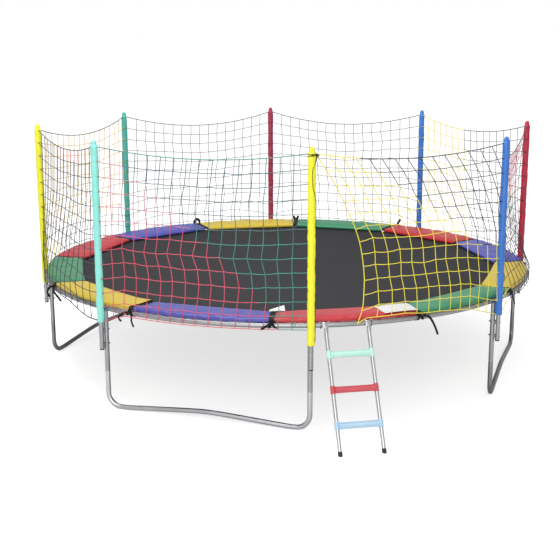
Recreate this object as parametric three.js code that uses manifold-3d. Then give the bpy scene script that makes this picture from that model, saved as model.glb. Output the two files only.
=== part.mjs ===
// Round outdoor trampoline with a safety net and a hook-on ladder. Millimetres, +Z up.
// The front pole stands towards -Y; poles, ring segments and net panels go anticlockwise from it.
import * as THREE from "three";
import { mergeVertices } from "three/addons/utils/BufferGeometryUtils.js";
import Module from "manifold-3d";

const wasm = await Module();
wasm.setup();

// Overall sizes
const ringRadius = 2135; // centre line of the top ring
const ringHeight = 805; // centre of the ring's tube above the floor
const coverTop = 2085; // top of the pole covers above the floor
const clearance = 0.3; // between pieces that touch
const overrun = 1; // how far the tool of a cut passes the faces it opens

// Round tubes, drawn with flats at their nominal diameter
const ringTube = 38;
const legTube = 38;
const poleTube = 35;
const tubeWall = 1.5;
const tubeSides = 12;

// Ring segments, each with one upright welded under it and a spigot in its far end
const ringJointOffset = 105; // along the ring, from a segment's end to its upright
const ringSpigot = 60; // reach of that spigot into the next segment
const ringSteps = 6;
const weldDepth = 11; // how far an upright's end reaches up into the ring's tube

// Leg bases: one bent tube between two neighbouring uprights
const legJointHeight = 304; // lower end of the uprights
const spigotLength = 60;
const legBend = 110; // centre-line radius of the lower bends
const legFlat = 60; // level stretch beside each bend, on which the leg stands
const legEase = 8; // at each end of that stretch, where the tube turns level
const legArch = 38; // rise of the bar at its middle
const bendSteps = 5;

// Enclosure poles, bolted to the uprights through saddles
const poleBottom = 483;
const saddleHeights = [520, 632];
const saddleWidth = 22;
const saddleTall = 30;

// Padded covers with a knob on top
const coverBottom = 669;
const coverDiameter = 56;
const coverSides = 10;
const knobDiameter = 39;
const knobHeight = 30;
const shoulderHeight = 20;
const capThickness = 12;

// Safety net
const netFoot = 12; // from a cover's lower end up to the net's lower corner
const netLift = 97; // rise of the lower edge between two poles
const netRise = 4; // power of that curve: the higher, the steeper beside the poles
const netSag = 90; // drop of the top rope between two poles
const netRope = 12; // edge rope
const netSideGap = 0.75; // from a cover to the net's side rope
const netTwine = 8;
const netDepth = 6;
const netColumns = 5;
const netRows = 4;
const netFollows = 75; // height above the ring up to which the net keeps to the ring's curve

// Entrance: the free edge of the net panel right of the front pole, a parabola
const entranceWidth = 430; // from the front pole to the free edge where it is widest
const entranceBelly = 1000; // height of that widest place
const entranceSill = 850; // height of the free lower corner

// Safety pads
const padCount = 12;
const padTurn = -7.5; // degrees from the front pole to the first pad's start
const padOverhang = 12; // past the ring's centre line
const padReach = 255; // from the ring's centre line in to the inner corners
const padGap = 8; // between neighbours
const padEdge = 26; // thickness at the edges
const padCrown = 14; // extra thickness in the middle
const padRoll = 6; // how far the top and bottom draw in from the sides
const padPull = 7; // how far the short sides draw in between their corners
const padSlope = 0.043; // drop per millimetre towards the mat
const padSteps = 8;
const padRows = 3;

// Jumping mat with its hem band and springs
const springGap = 240; // from the ring's centre line in to the mat's edge
const matThickness = 3;
const hemWidth = 25;
const springCount = 80;
const springWidth = 20;
const springTall = 14;

// Ladder
const ladderTurn = 7; // degrees from the front pole to the ladder's middle
const ladderSpread = 316; // between the stiles' centre lines
const ladderLean = 30; // degrees from upright
const stileTube = 28;
const hookWidth = 36;
const hookThickness = 5;
const hookPlay = 1.6; // sideways, between a hook and the ring
const hookSeat = 0.9; // from a hook's bend to the ring's top, which runs a little askew to it
const hookReach = 190; // degrees, where the hook ends below the ring's inner side
const hookSteps = 10;
const hookRun = 62; // flat strap inside the stile's upper end
const stileStart = 25; // from the end of the hook's bend to the tube
const stepHeights = [180, 400, 620];
const stepDepth = 60;
const stepTall = 38;
const stepCorner = 14;
const cornerSteps = 3; // flats round each corner of a step
const stepCollarWall = 4; // round the stiles
const stepCollarLength = 58; // along the stiles
const bootDiameter = 36;
const bootGrip = 24;
const bootSole = 13; // rubber below the stile's end, at its thinnest

// Places that follow from the sizes above
const poleNames = [
  "front",
  "front_right",
  "right",
  "back_right",
  "back",
  "back_left",
  "left",
  "front_left",
];
const sideCount = poleNames.length;
const sideAngle = (2 * Math.PI) / sideCount;
const frontAngle = -Math.PI / 2;
const poleRadius = ringRadius + Math.max(ringTube, legTube) / 2 + clearance + coverDiameter / 2;
const matRadius = ringRadius - springGap;
const padInner = ringRadius - padReach;
const ringSagitta = ringRadius * (1 - Math.cos(sideAngle / 2 / ringSteps)); // of the ring's flats
const hookClearance = ringSagitta + hookPlay;
const degrees = THREE.MathUtils.degToRad;

// ---- Shapes and solids ----

// A regular outline whose flats face along x and y when the count of sides is a multiple of four.
function flatSided(diameter, sides = tubeSides) {
  const corner = diameter / 2 / Math.cos(Math.PI / sides);
  const points = [];
  for (let i = 0; i < sides; i++) {
    const angle = ((i + 0.5) * 2 * Math.PI) / sides;
    points.push(new THREE.Vector2(corner * Math.cos(angle), corner * Math.sin(angle)));
  }
  return new THREE.Shape(points);
}

// A plug's outline, small enough in every direction for a flat-sided bore.
function plugFor(boreDiameter) {
  const widest = boreDiameter - 2 * clearance;
  return flatSided(widest * Math.cos(Math.PI / tubeSides));
}

// A bore's outline, wide enough at its flats for the corners of what goes in.
function boreFor(diameter) {
  return flatSided(diameter / Math.cos(Math.PI / tubeSides) + 2 * clearance);
}

function rectangle(width, height, corner = 0) {
  const outline = new THREE.Shape();
  const right = width / 2;
  const top = height / 2;
  if (corner === 0) {
    outline.moveTo(-right, -top).lineTo(right, -top).lineTo(right, top).lineTo(-right, top);
    return outline;
  }
  outline.moveTo(right, corner - top).lineTo(right, top - corner);
  outline.absarc(right - corner, top - corner, corner, 0, Math.PI / 2);
  outline.lineTo(corner - right, top);
  outline.absarc(corner - right, top - corner, corner, Math.PI / 2, Math.PI);
  outline.lineTo(-right, corner - top);
  outline.absarc(corner - right, corner - top, corner, Math.PI, 1.5 * Math.PI);
  outline.lineTo(right - corner, -top);
  outline.absarc(right - corner, corner - top, corner, 1.5 * Math.PI, 2 * Math.PI);
  return outline;
}

// A straight bar of a section, from z = 0 upwards.
function bar(section, length) {
  const options = { depth: length, bevelEnabled: false, curveSegments: cornerSteps };
  return new THREE.ExtrudeGeometry(section, options);
}

// A path through given stations, so that a bend gets short steps and a straight stretch only one.
// Its end faces are square to it, or to the end directions where they are given.
class StationPath extends THREE.Curve {
  constructor(stations, endDirections = []) {
    super();
    this.stations = stations;
    this.endDirections = endDirections;
  }

  getPointAt(along, target = new THREE.Vector3()) {
    return target.copy(this.stations[Math.round(along * (this.stations.length - 1))]);
  }

  getTangentAt(along, target = new THREE.Vector3()) {
    const last = this.stations.length - 1;
    const here = Math.round(along * last);
    if (here === 0 && this.endDirections[0]) return target.copy(this.endDirections[0]);
    if (here === last && this.endDirections[1]) return target.copy(this.endDirections[1]);
    const directions = [];
    if (here > 0) directions.push(this.stations[here].clone().sub(this.stations[here - 1]).normalize());
    if (here < last) directions.push(this.stations[here + 1].clone().sub(this.stations[here]).normalize());
    target.set(0, 0, 0);
    directions.forEach((direction) => target.add(direction));
    return target.normalize();
  }
}

function sweep(section, stations, endDirections) {
  const extrudePath = new StationPath(stations, endDirections);
  return new THREE.ExtrudeGeometry(section, { extrudePath, steps: stations.length - 1 });
}

function toManifold(geometry) {
  const bare = geometry.clone();
  bare.deleteAttribute("normal");
  bare.deleteAttribute("uv");
  const merged = mergeVertices(bare, 1e-4);
  return new wasm.Manifold(
    new wasm.Mesh({
      numProp: 3,
      vertProperties: new Float32Array(merged.attributes.position.array),
      triVerts: new Uint32Array(merged.index.array),
    }),
  );
}

function toGeometry(manifold) {
  const mesh = manifold.getMesh();
  const geometry = new THREE.BufferGeometry();
  geometry.setAttribute("position", new THREE.BufferAttribute(mesh.vertProperties, 3));
  geometry.setIndex(new THREE.BufferAttribute(mesh.triVerts, 1));
  return geometry;
}

function join(first, ...others) {
  return toGeometry(others.reduce((body, other) => body.add(toManifold(other)), toManifold(first)));
}

function cut(first, ...tools) {
  return toGeometry(tools.reduce((body, tool) => body.subtract(toManifold(tool)), toManifold(first)));
}

// ---- Finishes ----

function finish(color, roughness, metalness = 0) {
  return new THREE.MeshStandardMaterial({ color, roughness, metalness });
}

const galvanised = finish("#b4b8bd", 0.42, 0.9);
const silverTube = finish("#d8dadd", 0.35, 0.8);
const vinyl = {
  red: finish("#c9303c", 0.38),
  green: finish("#35936b", 0.38),
  yellow: finish("#eec62e", 0.38),
  blue: finish("#3c46a8", 0.38),
};
const blackMesh = finish("#3b3b3f", 0.75);
const springSteel = finish("#a9acb0", 0.35, 0.95);
const blackRubber = finish("#1b1b1d", 0.8);

// Pole by pole, from the front one anticlockwise
const coverColors = [
  "#f4ea24",
  "#2a63c4",
  "#b82440",
  "#2a63c4",
  "#a8244a",
  "#35a58f",
  "#f4ea24",
  "#4fcfb8",
];
const netColors = [
  "#e3d34a",
  "#c23a44",
  "#e3d34a",
  "#43434b",
  "#43434b",
  "#e0a83a",
  "#43434b",
  "#c94a50",
];

// ---- The model ----

const trampoline = new THREE.Group();

function addPiece(name, geometry, material, parent = trampoline) {
  const mesh = new THREE.Mesh(geometry, material);
  mesh.name = name;
  parent.add(mesh);
  return mesh;
}

// A group whose +X points outwards at an angle from the front pole.
function outwardGroup(angleFromFront) {
  const group = new THREE.Group();
  group.rotation.z = frontAngle + angleFromFront;
  trampoline.add(group);
  return group;
}

function onRing(angle) {
  return new THREE.Vector3(ringRadius * Math.cos(angle), ringRadius * Math.sin(angle), ringHeight);
}

// Ring segment: its upright is at angle zero. Its far end holds the spigot that slides into
// the next segment's socket, and its near end has that socket.
function ringSegment() {
  const start = -ringJointOffset / ringRadius;
  const end = start + sideAngle - clearance / ringRadius;
  const stations = [onRing(start)];
  for (let i = 0; i <= ringSteps; i++) {
    stations.push(onRing((end * i) / ringSteps));
  }
  const endDirections = [start, end].map((angle) => {
    return new THREE.Vector3(-Math.sin(angle), Math.cos(angle), 0);
  });
  const bent = sweep(flatSided(ringTube), stations, endDirections);

  const uprightSection = flatSided(legTube);
  uprightSection.holes.push(flatSided(legTube - 2 * tubeWall));
  const uprightTop = ringHeight - ringTube / 2 + weldDepth;
  const upright = bar(uprightSection, uprightTop - legJointHeight);
  upright.translate(ringRadius, 0, legJointHeight);

  // Both run along the straight stretch beside a joint, this segment's own or the next one's
  function besideJoint(section, turn, from, to) {
    const joint = onRing(start + turn);
    const inwards = onRing(turn).sub(joint).normalize();
    const ends = [from, to].map((along) => joint.clone().addScaledVector(inwards, along));
    return sweep(section, ends);
  }
  const boreDiameter = ringTube - 2 * tubeWall;
  const socket = besideJoint(flatSided(boreDiameter), 0, -overrun, ringSpigot + overrun);
  const spigot = besideJoint(plugFor(boreDiameter), sideAngle, -ringSpigot / 4, ringSpigot);
  return join(cut(join(bent, upright), socket), spigot);
}

// Leg base: +X runs from one upright to the next. It stands on the level stretches.
function legBase() {
  const span = 2 * ringRadius * Math.sin(sideAngle / 2);
  const low = legTube / 2;
  const top = legJointHeight - clearance;
  const half = [new THREE.Vector3(0, 0, top)];
  for (let i = 0; i <= bendSteps; i++) {
    const turn = ((Math.PI / 2) * i) / bendSteps;
    const x = legBend * (1 - Math.cos(turn));
    const z = low + legBend * (1 - Math.sin(turn));
    half.push(new THREE.Vector3(x, 0, z));
  }
  for (const along of [legEase, legFlat - legEase, legFlat]) {
    half.push(new THREE.Vector3(legBend + along, 0, low));
  }
  const middle = new THREE.Vector3(span / 2, 0, low + legArch);
  const mirrored = half.map((point) => new THREE.Vector3(span - point.x, 0, point.z)).reverse();
  const bent = sweep(flatSided(legTube), [...half, middle, ...mirrored]);
  const plug = plugFor(legTube - 2 * tubeWall);
  const spigot = bar(plug, 2 * spigotLength);
  spigot.translate(0, 0, top - spigotLength);
  const farSpigot = spigot.clone().translate(span, 0, 0);
  return join(bent, spigot, farSpigot);
}

// Pole: +X points outwards, z = 0 is the floor.
function pole() {
  const length = coverTop - capThickness - clearance - poleBottom;
  const outside = bar(flatSided(poleTube), length);
  const seat = clearance - (poleRadius - ringRadius - legTube / 2);
  const saddles = saddleHeights.map((height) => {
    const saddle = new THREE.BoxGeometry(-seat, saddleWidth, saddleTall);
    return saddle.translate(seat / 2, 0, height - poleBottom);
  });
  const bore = bar(flatSided(poleTube - 2 * tubeWall), length + 2 * overrun);
  bore.translate(0, 0, -overrun);
  const tube = cut(join(outside, ...saddles), bore);
  return tube.translate(0, 0, poleBottom);
}

// Padded cover: a sleeve closed at the top by its knob.
function poleCover() {
  const flatToCorner = Math.cos(Math.PI / coverSides);
  const outer = coverDiameter / 2 / flatToCorner;
  const knob = knobDiameter / 2 / flatToCorner;
  const poleCorner = poleTube / 2 / Math.cos(Math.PI / tubeSides);
  const bore = (poleCorner + clearance) / flatToCorner;
  const neck = coverTop - knobHeight;
  const profile = [
    [0, coverTop - capThickness],
    [bore, coverTop - capThickness],
    [bore, coverBottom],
    [outer, coverBottom],
    [outer, neck - shoulderHeight],
    [knob, neck],
    [knob, coverTop - knobHeight / 2],
    [knob * 0.75, coverTop - knobHeight / 8],
    [knob * 0.35, coverTop],
    [0, coverTop],
  ].map(([radius, height]) => new THREE.Vector2(radius, height));
  const cover = new THREE.LatheGeometry(profile, coverSides, Math.PI / coverSides + Math.PI / 2);
  return cover.rotateX(Math.PI / 2);
}

// Safety pad: a crowned cushion with a straight inner edge, drawn in between its corners.
// Its middle lies at angle zero, and it slopes down towards the mat.
function safetyPad() {
  const half = Math.PI / padCount;
  const seatRadius = ringRadius * Math.cos(sideAngle / 2 / ringSteps) - ringTube / 4;
  const seatHeight = ringHeight + ringTube / 2 + clearance;
  const outerRadius = ringRadius + padOverhang;

  function place(along, across, inset, height) {
    const side = 2 * along - 1;
    const depth = 2 * across - 1;
    const angle = side * half;
    const innerRadius = (padInner * Math.cos(half)) / Math.cos(angle) + padPull * (1 - side * side);
    const low = innerRadius + inset;
    const radius = low + across * (outerRadius - inset - low);
    const drawnIn = padGap / 2 + inset + padPull * (1 - depth * depth);
    const sideways = radius * Math.sin(angle) - Math.sign(side) * drawnIn * Math.abs(side);
    const x = radius * Math.cos(angle);
    const z = seatHeight + (Math.hypot(x, sideways) - seatRadius) * padSlope + height;
    return [x, sideways, z];
  }

  const positions = [];
  const index = [];
  const layers = { low: [], waist: [], high: [] };
  for (let j = 0; j <= padRows; j++) {
    for (let i = 0; i <= padSteps; i++) {
      const along = i / padSteps;
      const across = j / padRows;
      const crown = padCrown * (1 - (2 * along - 1) ** 4) * (1 - (2 * across - 1) ** 4);
      const atEdge = i === 0 || i === padSteps || j === 0 || j === padRows;
      layers.low.push(positions.push(place(along, across, padRoll, 0)) - 1);
      layers.high.push(positions.push(place(along, across, padRoll, padEdge + crown)) - 1);
      layers.waist.push(atEdge ? positions.push(place(along, across, 0, padEdge / 2)) - 1 : -1);
    }
  }
  const row = padSteps + 1;
  for (let j = 0; j < padRows; j++) {
    for (let i = 0; i < padSteps; i++) {
      const corner = j * row + i;
      const square = [corner, corner + 1, corner + row + 1, corner + row];
      const [a, b, c, d] = square.map((place) => layers.high[place]);
      index.push(a, c, b, a, d, c);
      const [e, f, g, h] = square.map((place) => layers.low[place]);
      index.push(e, f, g, e, g, h);
    }
  }
  const rim = [];
  for (let i = 0; i < padSteps; i++) rim.push(i);
  for (let j = 0; j < padRows; j++) rim.push(j * row + padSteps);
  for (let i = padSteps; i > 0; i--) rim.push(padRows * row + i);
  for (let j = padRows; j > 0; j--) rim.push(j * row);
  rim.forEach((here, n) => {
    const next = rim[(n + 1) % rim.length];
    for (const [under, over] of [
      ["low", "waist"],
      ["waist", "high"],
    ]) {
      const [a, b] = [layers[under][here], layers[under][next]];
      const [c, d] = [layers[over][here], layers[over][next]];
      index.push(a, c, b, b, c, d);
    }
  });
  const geometry = new THREE.BufferGeometry();
  geometry.setAttribute("position", new THREE.Float32BufferAttribute(positions.flat(), 3));
  geometry.setIndex(index);
  return geometry;
}

// Net panel: a lattice with an edge rope, +X from one pole to the next, +Y inwards.
// Low down it keeps to the ring's curve, and above that it draws straight between the poles.
function netPanel(isEntrance) {
  const halfSpan = poleRadius * Math.sin(sideAngle / 2);
  const end = halfSpan - coverDiameter / 2 - netSideGap;
  const neck = coverTop - knobHeight - shoulderHeight - clearance;

  function freeEdge(height) {
    const widest = entranceWidth - halfSpan;
    const rise = (height - entranceBelly) / (neck - entranceBelly);
    return widest - (widest + end) * rise * rise;
  }

  function lowerEdge(x) {
    const usual = coverBottom + netFoot + netLift * (1 - Math.abs(x / end) ** netRise);
    if (!isEntrance || x > 0) return usual;
    const towardsFree = x / freeEdge(entranceSill);
    return usual + (entranceSill - usual) * towardsFree ** 2;
  }

  function upperEdge(x) {
    return neck - netSag * (1 - (x / end) ** 2);
  }

  // A place on the panel, from its left edge to its right one and from bottom to top.
  function place(across, up) {
    const roughHeight = entranceSill + up * (neck - entranceSill);
    const left = isEntrance ? freeEdge(roughHeight) : -end;
    const x = left + across * (end - left);
    const bottom = lowerEdge(x);
    return new THREE.Vector2(x, bottom + up * (upperEdge(x) - bottom));
  }

  // Corners of the twines' crossings, then of each gap, with a face vertex on either side
  const positions = [];
  const index = [];
  const followTop = ringHeight + netFollows;
  function addPair(point) {
    const share = THREE.MathUtils.clamp((neck - point.y) / (neck - followTop), 0, 1);
    const curve = Math.sqrt(poleRadius ** 2 - point.x ** 2) - poleRadius * Math.cos(sideAngle / 2);
    const middle = -share * curve;
    positions.push(point.x, middle - netDepth / 2, point.y);
    positions.push(point.x, middle + netDepth / 2, point.y);
    return positions.length / 3 - 2;
  }

  // Both faces of a strip between two edges, and the wall along one of them
  function addStrip(a, b, c, d) {
    index.push(a, b, c, a, c, d);
    index.push(a + 1, c + 1, b + 1, a + 1, d + 1, c + 1);
  }
  function addWall(a, b) {
    index.push(a, a + 1, b + 1, a, b + 1, b);
  }

  const crossings = [];
  for (let j = 0; j <= netRows; j++) {
    const line = [];
    for (let i = 0; i <= netColumns; i++) line.push(addPair(place(i / netColumns, j / netRows)));
    crossings.push(line);
  }
  for (let j = 0; j < netRows; j++) {
    for (let i = 0; i < netColumns; i++) {
      const left = i === 0 ? netRope : netTwine / 2;
      const right = i === netColumns - 1 ? netRope : netTwine / 2;
      const below = j === 0 ? netRope : netTwine / 2;
      const above = j === netRows - 1 ? netRope : netTwine / 2;
      const cell = [
        [i, j, left, below],
        [i + 1, j, -right, below],
        [i + 1, j + 1, -right, -above],
        [i, j + 1, left, -above],
      ];
      const outer = cell.map(([column, row]) => crossings[row][column]);
      const gap = cell.map(([column, row, along, up]) =>
        addPair(place(column / netColumns, row / netRows).add(new THREE.Vector2(along, up))),
      );
      for (let n = 0; n < 4; n++) {
        const next = (n + 1) % 4;
        addStrip(outer[n], outer[next], gap[next], gap[n]);
        addWall(gap[next], gap[n]);
      }
    }
  }
  for (let i = 0; i < netColumns; i++) {
    addWall(crossings[0][i], crossings[0][i + 1]);
    addWall(crossings[netRows][i + 1], crossings[netRows][i]);
  }
  for (let j = 0; j < netRows; j++) {
    addWall(crossings[j][netColumns], crossings[j + 1][netColumns]);
    addWall(crossings[j + 1][0], crossings[j][0]);
  }
  const geometry = new THREE.BufferGeometry();
  geometry.setAttribute("position", new THREE.Float32BufferAttribute(positions, 3));
  geometry.setIndex(index);
  return geometry;
}

function ringOfPoints(radiusAt, count) {
  const points = [];
  for (let i = 0; i < count; i++) {
    const { radius, angle } = radiusAt(i);
    points.push(new THREE.Vector2(radius * Math.cos(angle), radius * Math.sin(angle)));
  }
  return points;
}

// Hem band with the springs that reach from it to the ring, as one flat star.
function matSprings() {
  const pitch = (2 * Math.PI) / springCount;
  const bandRadius = matRadius + clearance + hemWidth;
  const chordRadius = ringRadius * Math.cos(sideAngle / 2 / ringSteps);
  const tipRadius = chordRadius - ringTube / 2 - clearance;
  const outline = ringOfPoints((n) => {
    const corner = n % 4;
    const radius = corner === 0 || corner === 3 ? bandRadius : tipRadius;
    const side = corner < 2 ? -1 : 1;
    const middle = (Math.floor(n / 4) + 0.25) * pitch;
    return { radius, angle: middle + (side * springWidth) / 2 / radius };
  }, springCount * 4);
  const star = new THREE.Shape(outline);
  const holeRadius = matRadius + clearance / Math.cos(pitch / 2);
  const hole = ringOfPoints((n) => ({ radius: holeRadius, angle: n * pitch }), springCount);
  star.holes.push(new THREE.Path(hole));
  return bar(star, springTall).translate(0, 0, ringHeight - springTall / 2);
}

function jumpingMat() {
  const pitch = (2 * Math.PI) / springCount;
  const disc = new THREE.Shape(ringOfPoints((n) => ({ radius: matRadius, angle: n * pitch }), springCount));
  return bar(disc, matThickness).translate(0, 0, ringHeight - matThickness / 2);
}

// ---- Frame, poles and covers ----

const segmentGeometry = ringSegment();
const poleGeometry = pole();
const coverGeometry = poleCover();
poleNames.forEach((name, i) => {
  const side = outwardGroup(i * sideAngle);
  addPiece(`ring_segment_${name}`, segmentGeometry, galvanised, side);
  addPiece(`pole_${name}`, poleGeometry, galvanised, side).position.x = poleRadius;
  const cover = addPiece(`pole_cover_${name}`, coverGeometry, finish(coverColors[i], 0.4), side);
  cover.position.x = poleRadius;
});

// Each base joins the upright of one pole to the next one anticlockwise
const legGeometry = legBase();
const legStarts = { front: 7, right: 1, back: 3, left: 5 };
for (const [name, start] of Object.entries(legStarts)) {
  const angle = frontAngle + start * sideAngle;
  const base = addPiece(`leg_base_${name}`, legGeometry, galvanised);
  base.position.set(ringRadius * Math.cos(angle), ringRadius * Math.sin(angle), 0);
  base.rotation.z = angle + sideAngle / 2 + Math.PI / 2;
}

// ---- Mat and springs ----

addPiece("jumping_mat", jumpingMat(), blackMesh).rotation.z = frontAngle;
addPiece("mat_springs", matSprings(), springSteel).rotation.z = frontAngle;

// ---- Ladder, hooked over the ring ----

const lean = degrees(ladderLean);
const hookRadius = ringTube / 2 / Math.cos(Math.PI / tubeSides) + hookClearance + hookThickness / 2;
const ladderReach = Math.sqrt(ringRadius ** 2 - (ladderSpread / 2) ** 2) - ringSagitta;
const ladder = outwardGroup(degrees(ladderTurn));

// The hooks hang on the ring's top, so the centre of their bend lies lower than the ring's
const hookHalfStep = (degrees(hookReach) - lean) / hookSteps / 2;
const hookInside = hookRadius * Math.cos(hookHalfStep) - hookThickness / 2;
const ringTopHalf = (ringTube / 2) * Math.tan(Math.PI / tubeSides);
const hookDrop = Math.sqrt((hookInside - hookSeat) ** 2 - ringTopHalf ** 2) - ringTube / 2;
const hookHeight = ringHeight - hookDrop;

// Along a stile, measured from the end of its hook's bend down to the floor
const stileLength = (hookHeight + hookRadius * Math.sin(lean) - bootSole) / Math.cos(lean);
const stileEnd = stileLength - (stileTube / 2) * Math.tan(lean);

// A bar laid along a stile: +X outwards, origin on the axis about which the hooks turn.
function alongStile(section, from, to) {
  const piece = bar(section, to - from);
  piece.translate(0, 0, -to).rotateY(-lean);
  return piece.translate(hookRadius * Math.cos(lean), 0, hookRadius * Math.sin(lean));
}

function ladderStile() {
  const stations = [];
  for (let i = 0; i <= hookSteps; i++) {
    const angle = degrees(hookReach) + ((lean - degrees(hookReach)) * i) / hookSteps;
    stations.push(new THREE.Vector3(hookRadius * Math.cos(angle), 0, hookRadius * Math.sin(angle)));
  }
  const run = new THREE.Vector3(Math.sin(lean), 0, -Math.cos(lean)).multiplyScalar(hookRun);
  stations.push(stations.at(-1).clone().add(run));
  const hook = sweep(rectangle(hookWidth, hookThickness), stations);
  const section = flatSided(stileTube);
  section.holes.push(flatSided(stileTube - 2 * tubeWall));
  return join(hook, alongStile(section, stileStart, stileEnd));
}

// Rubber boot, cut level at the floor.
function ladderBoot() {
  const beyond = stileEnd + 2 * bootDiameter;
  const outside = alongStile(flatSided(bootDiameter), stileEnd - bootGrip, beyond);
  const bore = alongStile(boreFor(stileTube), stileEnd - bootGrip - overrun, stileEnd + clearance);
  const ground = new THREE.BoxGeometry(10 * bootDiameter, 4 * bootDiameter, 4 * bootDiameter);
  const underFoot = hookRadius * Math.cos(lean) + stileEnd * Math.sin(lean);
  ground.translate(underFoot, 0, -hookHeight - 2 * bootDiameter);
  return cut(outside, bore, ground);
}

// Step: a tread between two collars that grip the stiles. Heights are from the floor to its middle.
function ladderStep(height) {
  const drop = hookHeight - height;
  const along = (drop + hookRadius * Math.sin(lean)) / Math.cos(lean);
  const x = hookRadius * Math.cos(lean) + along * Math.sin(lean);
  const tread = bar(rectangle(stepDepth, stepTall, stepCorner), ladderSpread).rotateX(Math.PI / 2);
  tread.translate(x, ladderSpread / 2, -drop);
  const collarSection = flatSided(stileTube + 2 * stepCollarWall);
  const sides = [-ladderSpread / 2, ladderSpread / 2];
  const collars = sides.map((side) => {
    const collar = alongStile(collarSection, along - stepCollarLength / 2, along + stepCollarLength / 2);
    return collar.translate(0, side, 0);
  });
  const bores = sides.map((side) => {
    const bore = alongStile(boreFor(stileTube), along - stepCollarLength, along + stepCollarLength);
    return bore.translate(0, side, 0);
  });
  return cut(join(tread, ...collars), ...bores);
}

const stileGeometry = ladderStile();
const bootGeometry = ladderBoot();
for (const [name, side] of [
  ["left", -1],
  ["right", 1],
]) {
  const stile = addPiece(`ladder_stile_${name}`, stileGeometry, silverTube, ladder);
  const boot = addPiece(`ladder_boot_${name}`, bootGeometry, blackRubber, ladder);
  stile.position.set(ladderReach, (side * ladderSpread) / 2, hookHeight);
  boot.position.copy(stile.position);
}
const stepColors = { bottom: "#9fc4ee", middle: "#c63a46", top: "#a8e3cb" };
Object.entries(stepColors).forEach(([name, color], i) => {
  const step = addPiece(`ladder_step_${name}`, ladderStep(stepHeights[i]), finish(color, 0.45), ladder);
  step.position.set(ladderReach, 0, hookHeight);
});

// ---- Safety pads, with room under them for the ladder's hooks ----

function hookRoom(side, padAngle) {
  const spare = hookRadius + hookThickness / 2 + hookClearance;
  const room = new THREE.BoxGeometry(2 * spare, hookWidth + 4 * hookClearance, 2 * spare);
  room.translate(ladderReach, (side * ladderSpread) / 2, hookHeight);
  return room.rotateZ(degrees(ladderTurn) - padAngle);
}

const padGeometry = safetyPad();
const padAngle = (2 * Math.PI) / padCount;
const padColorNames = Object.keys(vinyl);
for (let i = 0; i < padCount; i++) {
  const color = padColorNames[i % padColorNames.length];
  const round = Math.floor(i / padColorNames.length) + 1;
  const angle = degrees(padTurn) + (i + 0.5) * padAngle;
  const start = angle - padAngle / 2;
  const holdsLadder = degrees(ladderTurn) > start && degrees(ladderTurn) < start + padAngle;
  const rooms = holdsLadder ? [hookRoom(-1, angle), hookRoom(1, angle)] : [];
  const geometry = rooms.length > 0 ? cut(padGeometry, ...rooms) : padGeometry;
  addPiece(`pad_${color}_${round}`, geometry, vinyl[color], outwardGroup(angle));
}

// ---- Safety net ----

const plainPanel = netPanel(false);
poleNames.forEach((name, i) => {
  const isEntrance = i === 0;
  const next = poleNames[(i + 1) % sideCount];
  const label = isEntrance ? "net_entrance" : `net_${name}_to_${next}`;
  const geometry = isEntrance ? netPanel(true) : plainPanel;
  const side = outwardGroup((i + 0.5) * sideAngle);
  const panel = addPiece(label, geometry, finish(netColors[i], 0.7), side);
  panel.position.x = poleRadius * Math.cos(sideAngle / 2);
  panel.rotation.z = Math.PI / 2;
});

// The origin is on the floor, under the middle of the whole outline, ladder included
const outlineBox = new THREE.Box3().setFromObject(trampoline, true);
const middle = outlineBox.getCenter(new THREE.Vector3());
trampoline.position.set(-middle.x, -middle.y, 0);
trampoline.updateMatrixWorld(true);

export default trampoline;
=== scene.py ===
import math

import bpy
import numpy as np
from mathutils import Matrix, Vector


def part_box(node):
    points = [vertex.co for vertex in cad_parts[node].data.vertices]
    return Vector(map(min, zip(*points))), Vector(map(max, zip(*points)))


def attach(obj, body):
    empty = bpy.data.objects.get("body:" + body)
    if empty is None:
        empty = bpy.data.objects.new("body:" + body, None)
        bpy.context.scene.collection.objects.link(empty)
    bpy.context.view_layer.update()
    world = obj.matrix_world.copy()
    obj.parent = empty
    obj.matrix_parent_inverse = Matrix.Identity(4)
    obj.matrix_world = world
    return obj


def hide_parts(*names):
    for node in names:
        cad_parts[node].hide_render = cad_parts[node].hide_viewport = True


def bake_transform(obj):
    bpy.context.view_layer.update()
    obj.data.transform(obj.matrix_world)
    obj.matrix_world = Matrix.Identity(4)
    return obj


# A round outdoor trampoline, put together in the order of its assembly. Metres, +Z up.
# Angles are degrees anticlockwise from the front pole, seen from above.
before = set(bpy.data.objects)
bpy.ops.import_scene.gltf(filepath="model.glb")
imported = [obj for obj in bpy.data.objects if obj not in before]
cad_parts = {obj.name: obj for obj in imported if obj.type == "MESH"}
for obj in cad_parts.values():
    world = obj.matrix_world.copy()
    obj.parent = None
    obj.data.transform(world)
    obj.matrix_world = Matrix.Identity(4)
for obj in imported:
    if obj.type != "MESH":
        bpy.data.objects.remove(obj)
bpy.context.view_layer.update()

# ---- Camera ----
# Stands in front of the ring and a little to the left, at about one and a half times a person's
# height, with a plain lens. The ring's axis is the middle of the jumping mat.
mat_low, mat_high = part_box("jumping_mat")
axis_x = (mat_low.x + mat_high.x) / 2
axis_y = (mat_low.y + mat_high.y) / 2
camera_from_axis = (-0.746, -9.272, 2.785)
camera_turn = (77.07, 0.07, -4.25)
camera_field = 30.186

lens = bpy.data.cameras.new("camera")
lens.angle = math.radians(camera_field)
camera = bpy.data.objects.new("camera", lens)
camera.location = (axis_x + camera_from_axis[0], axis_y + camera_from_axis[1], camera_from_axis[2])
camera.rotation_euler = [math.radians(turn) for turn in camera_turn]
bpy.context.collection.objects.link(camera)
bpy.context.scene.camera = camera

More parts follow.
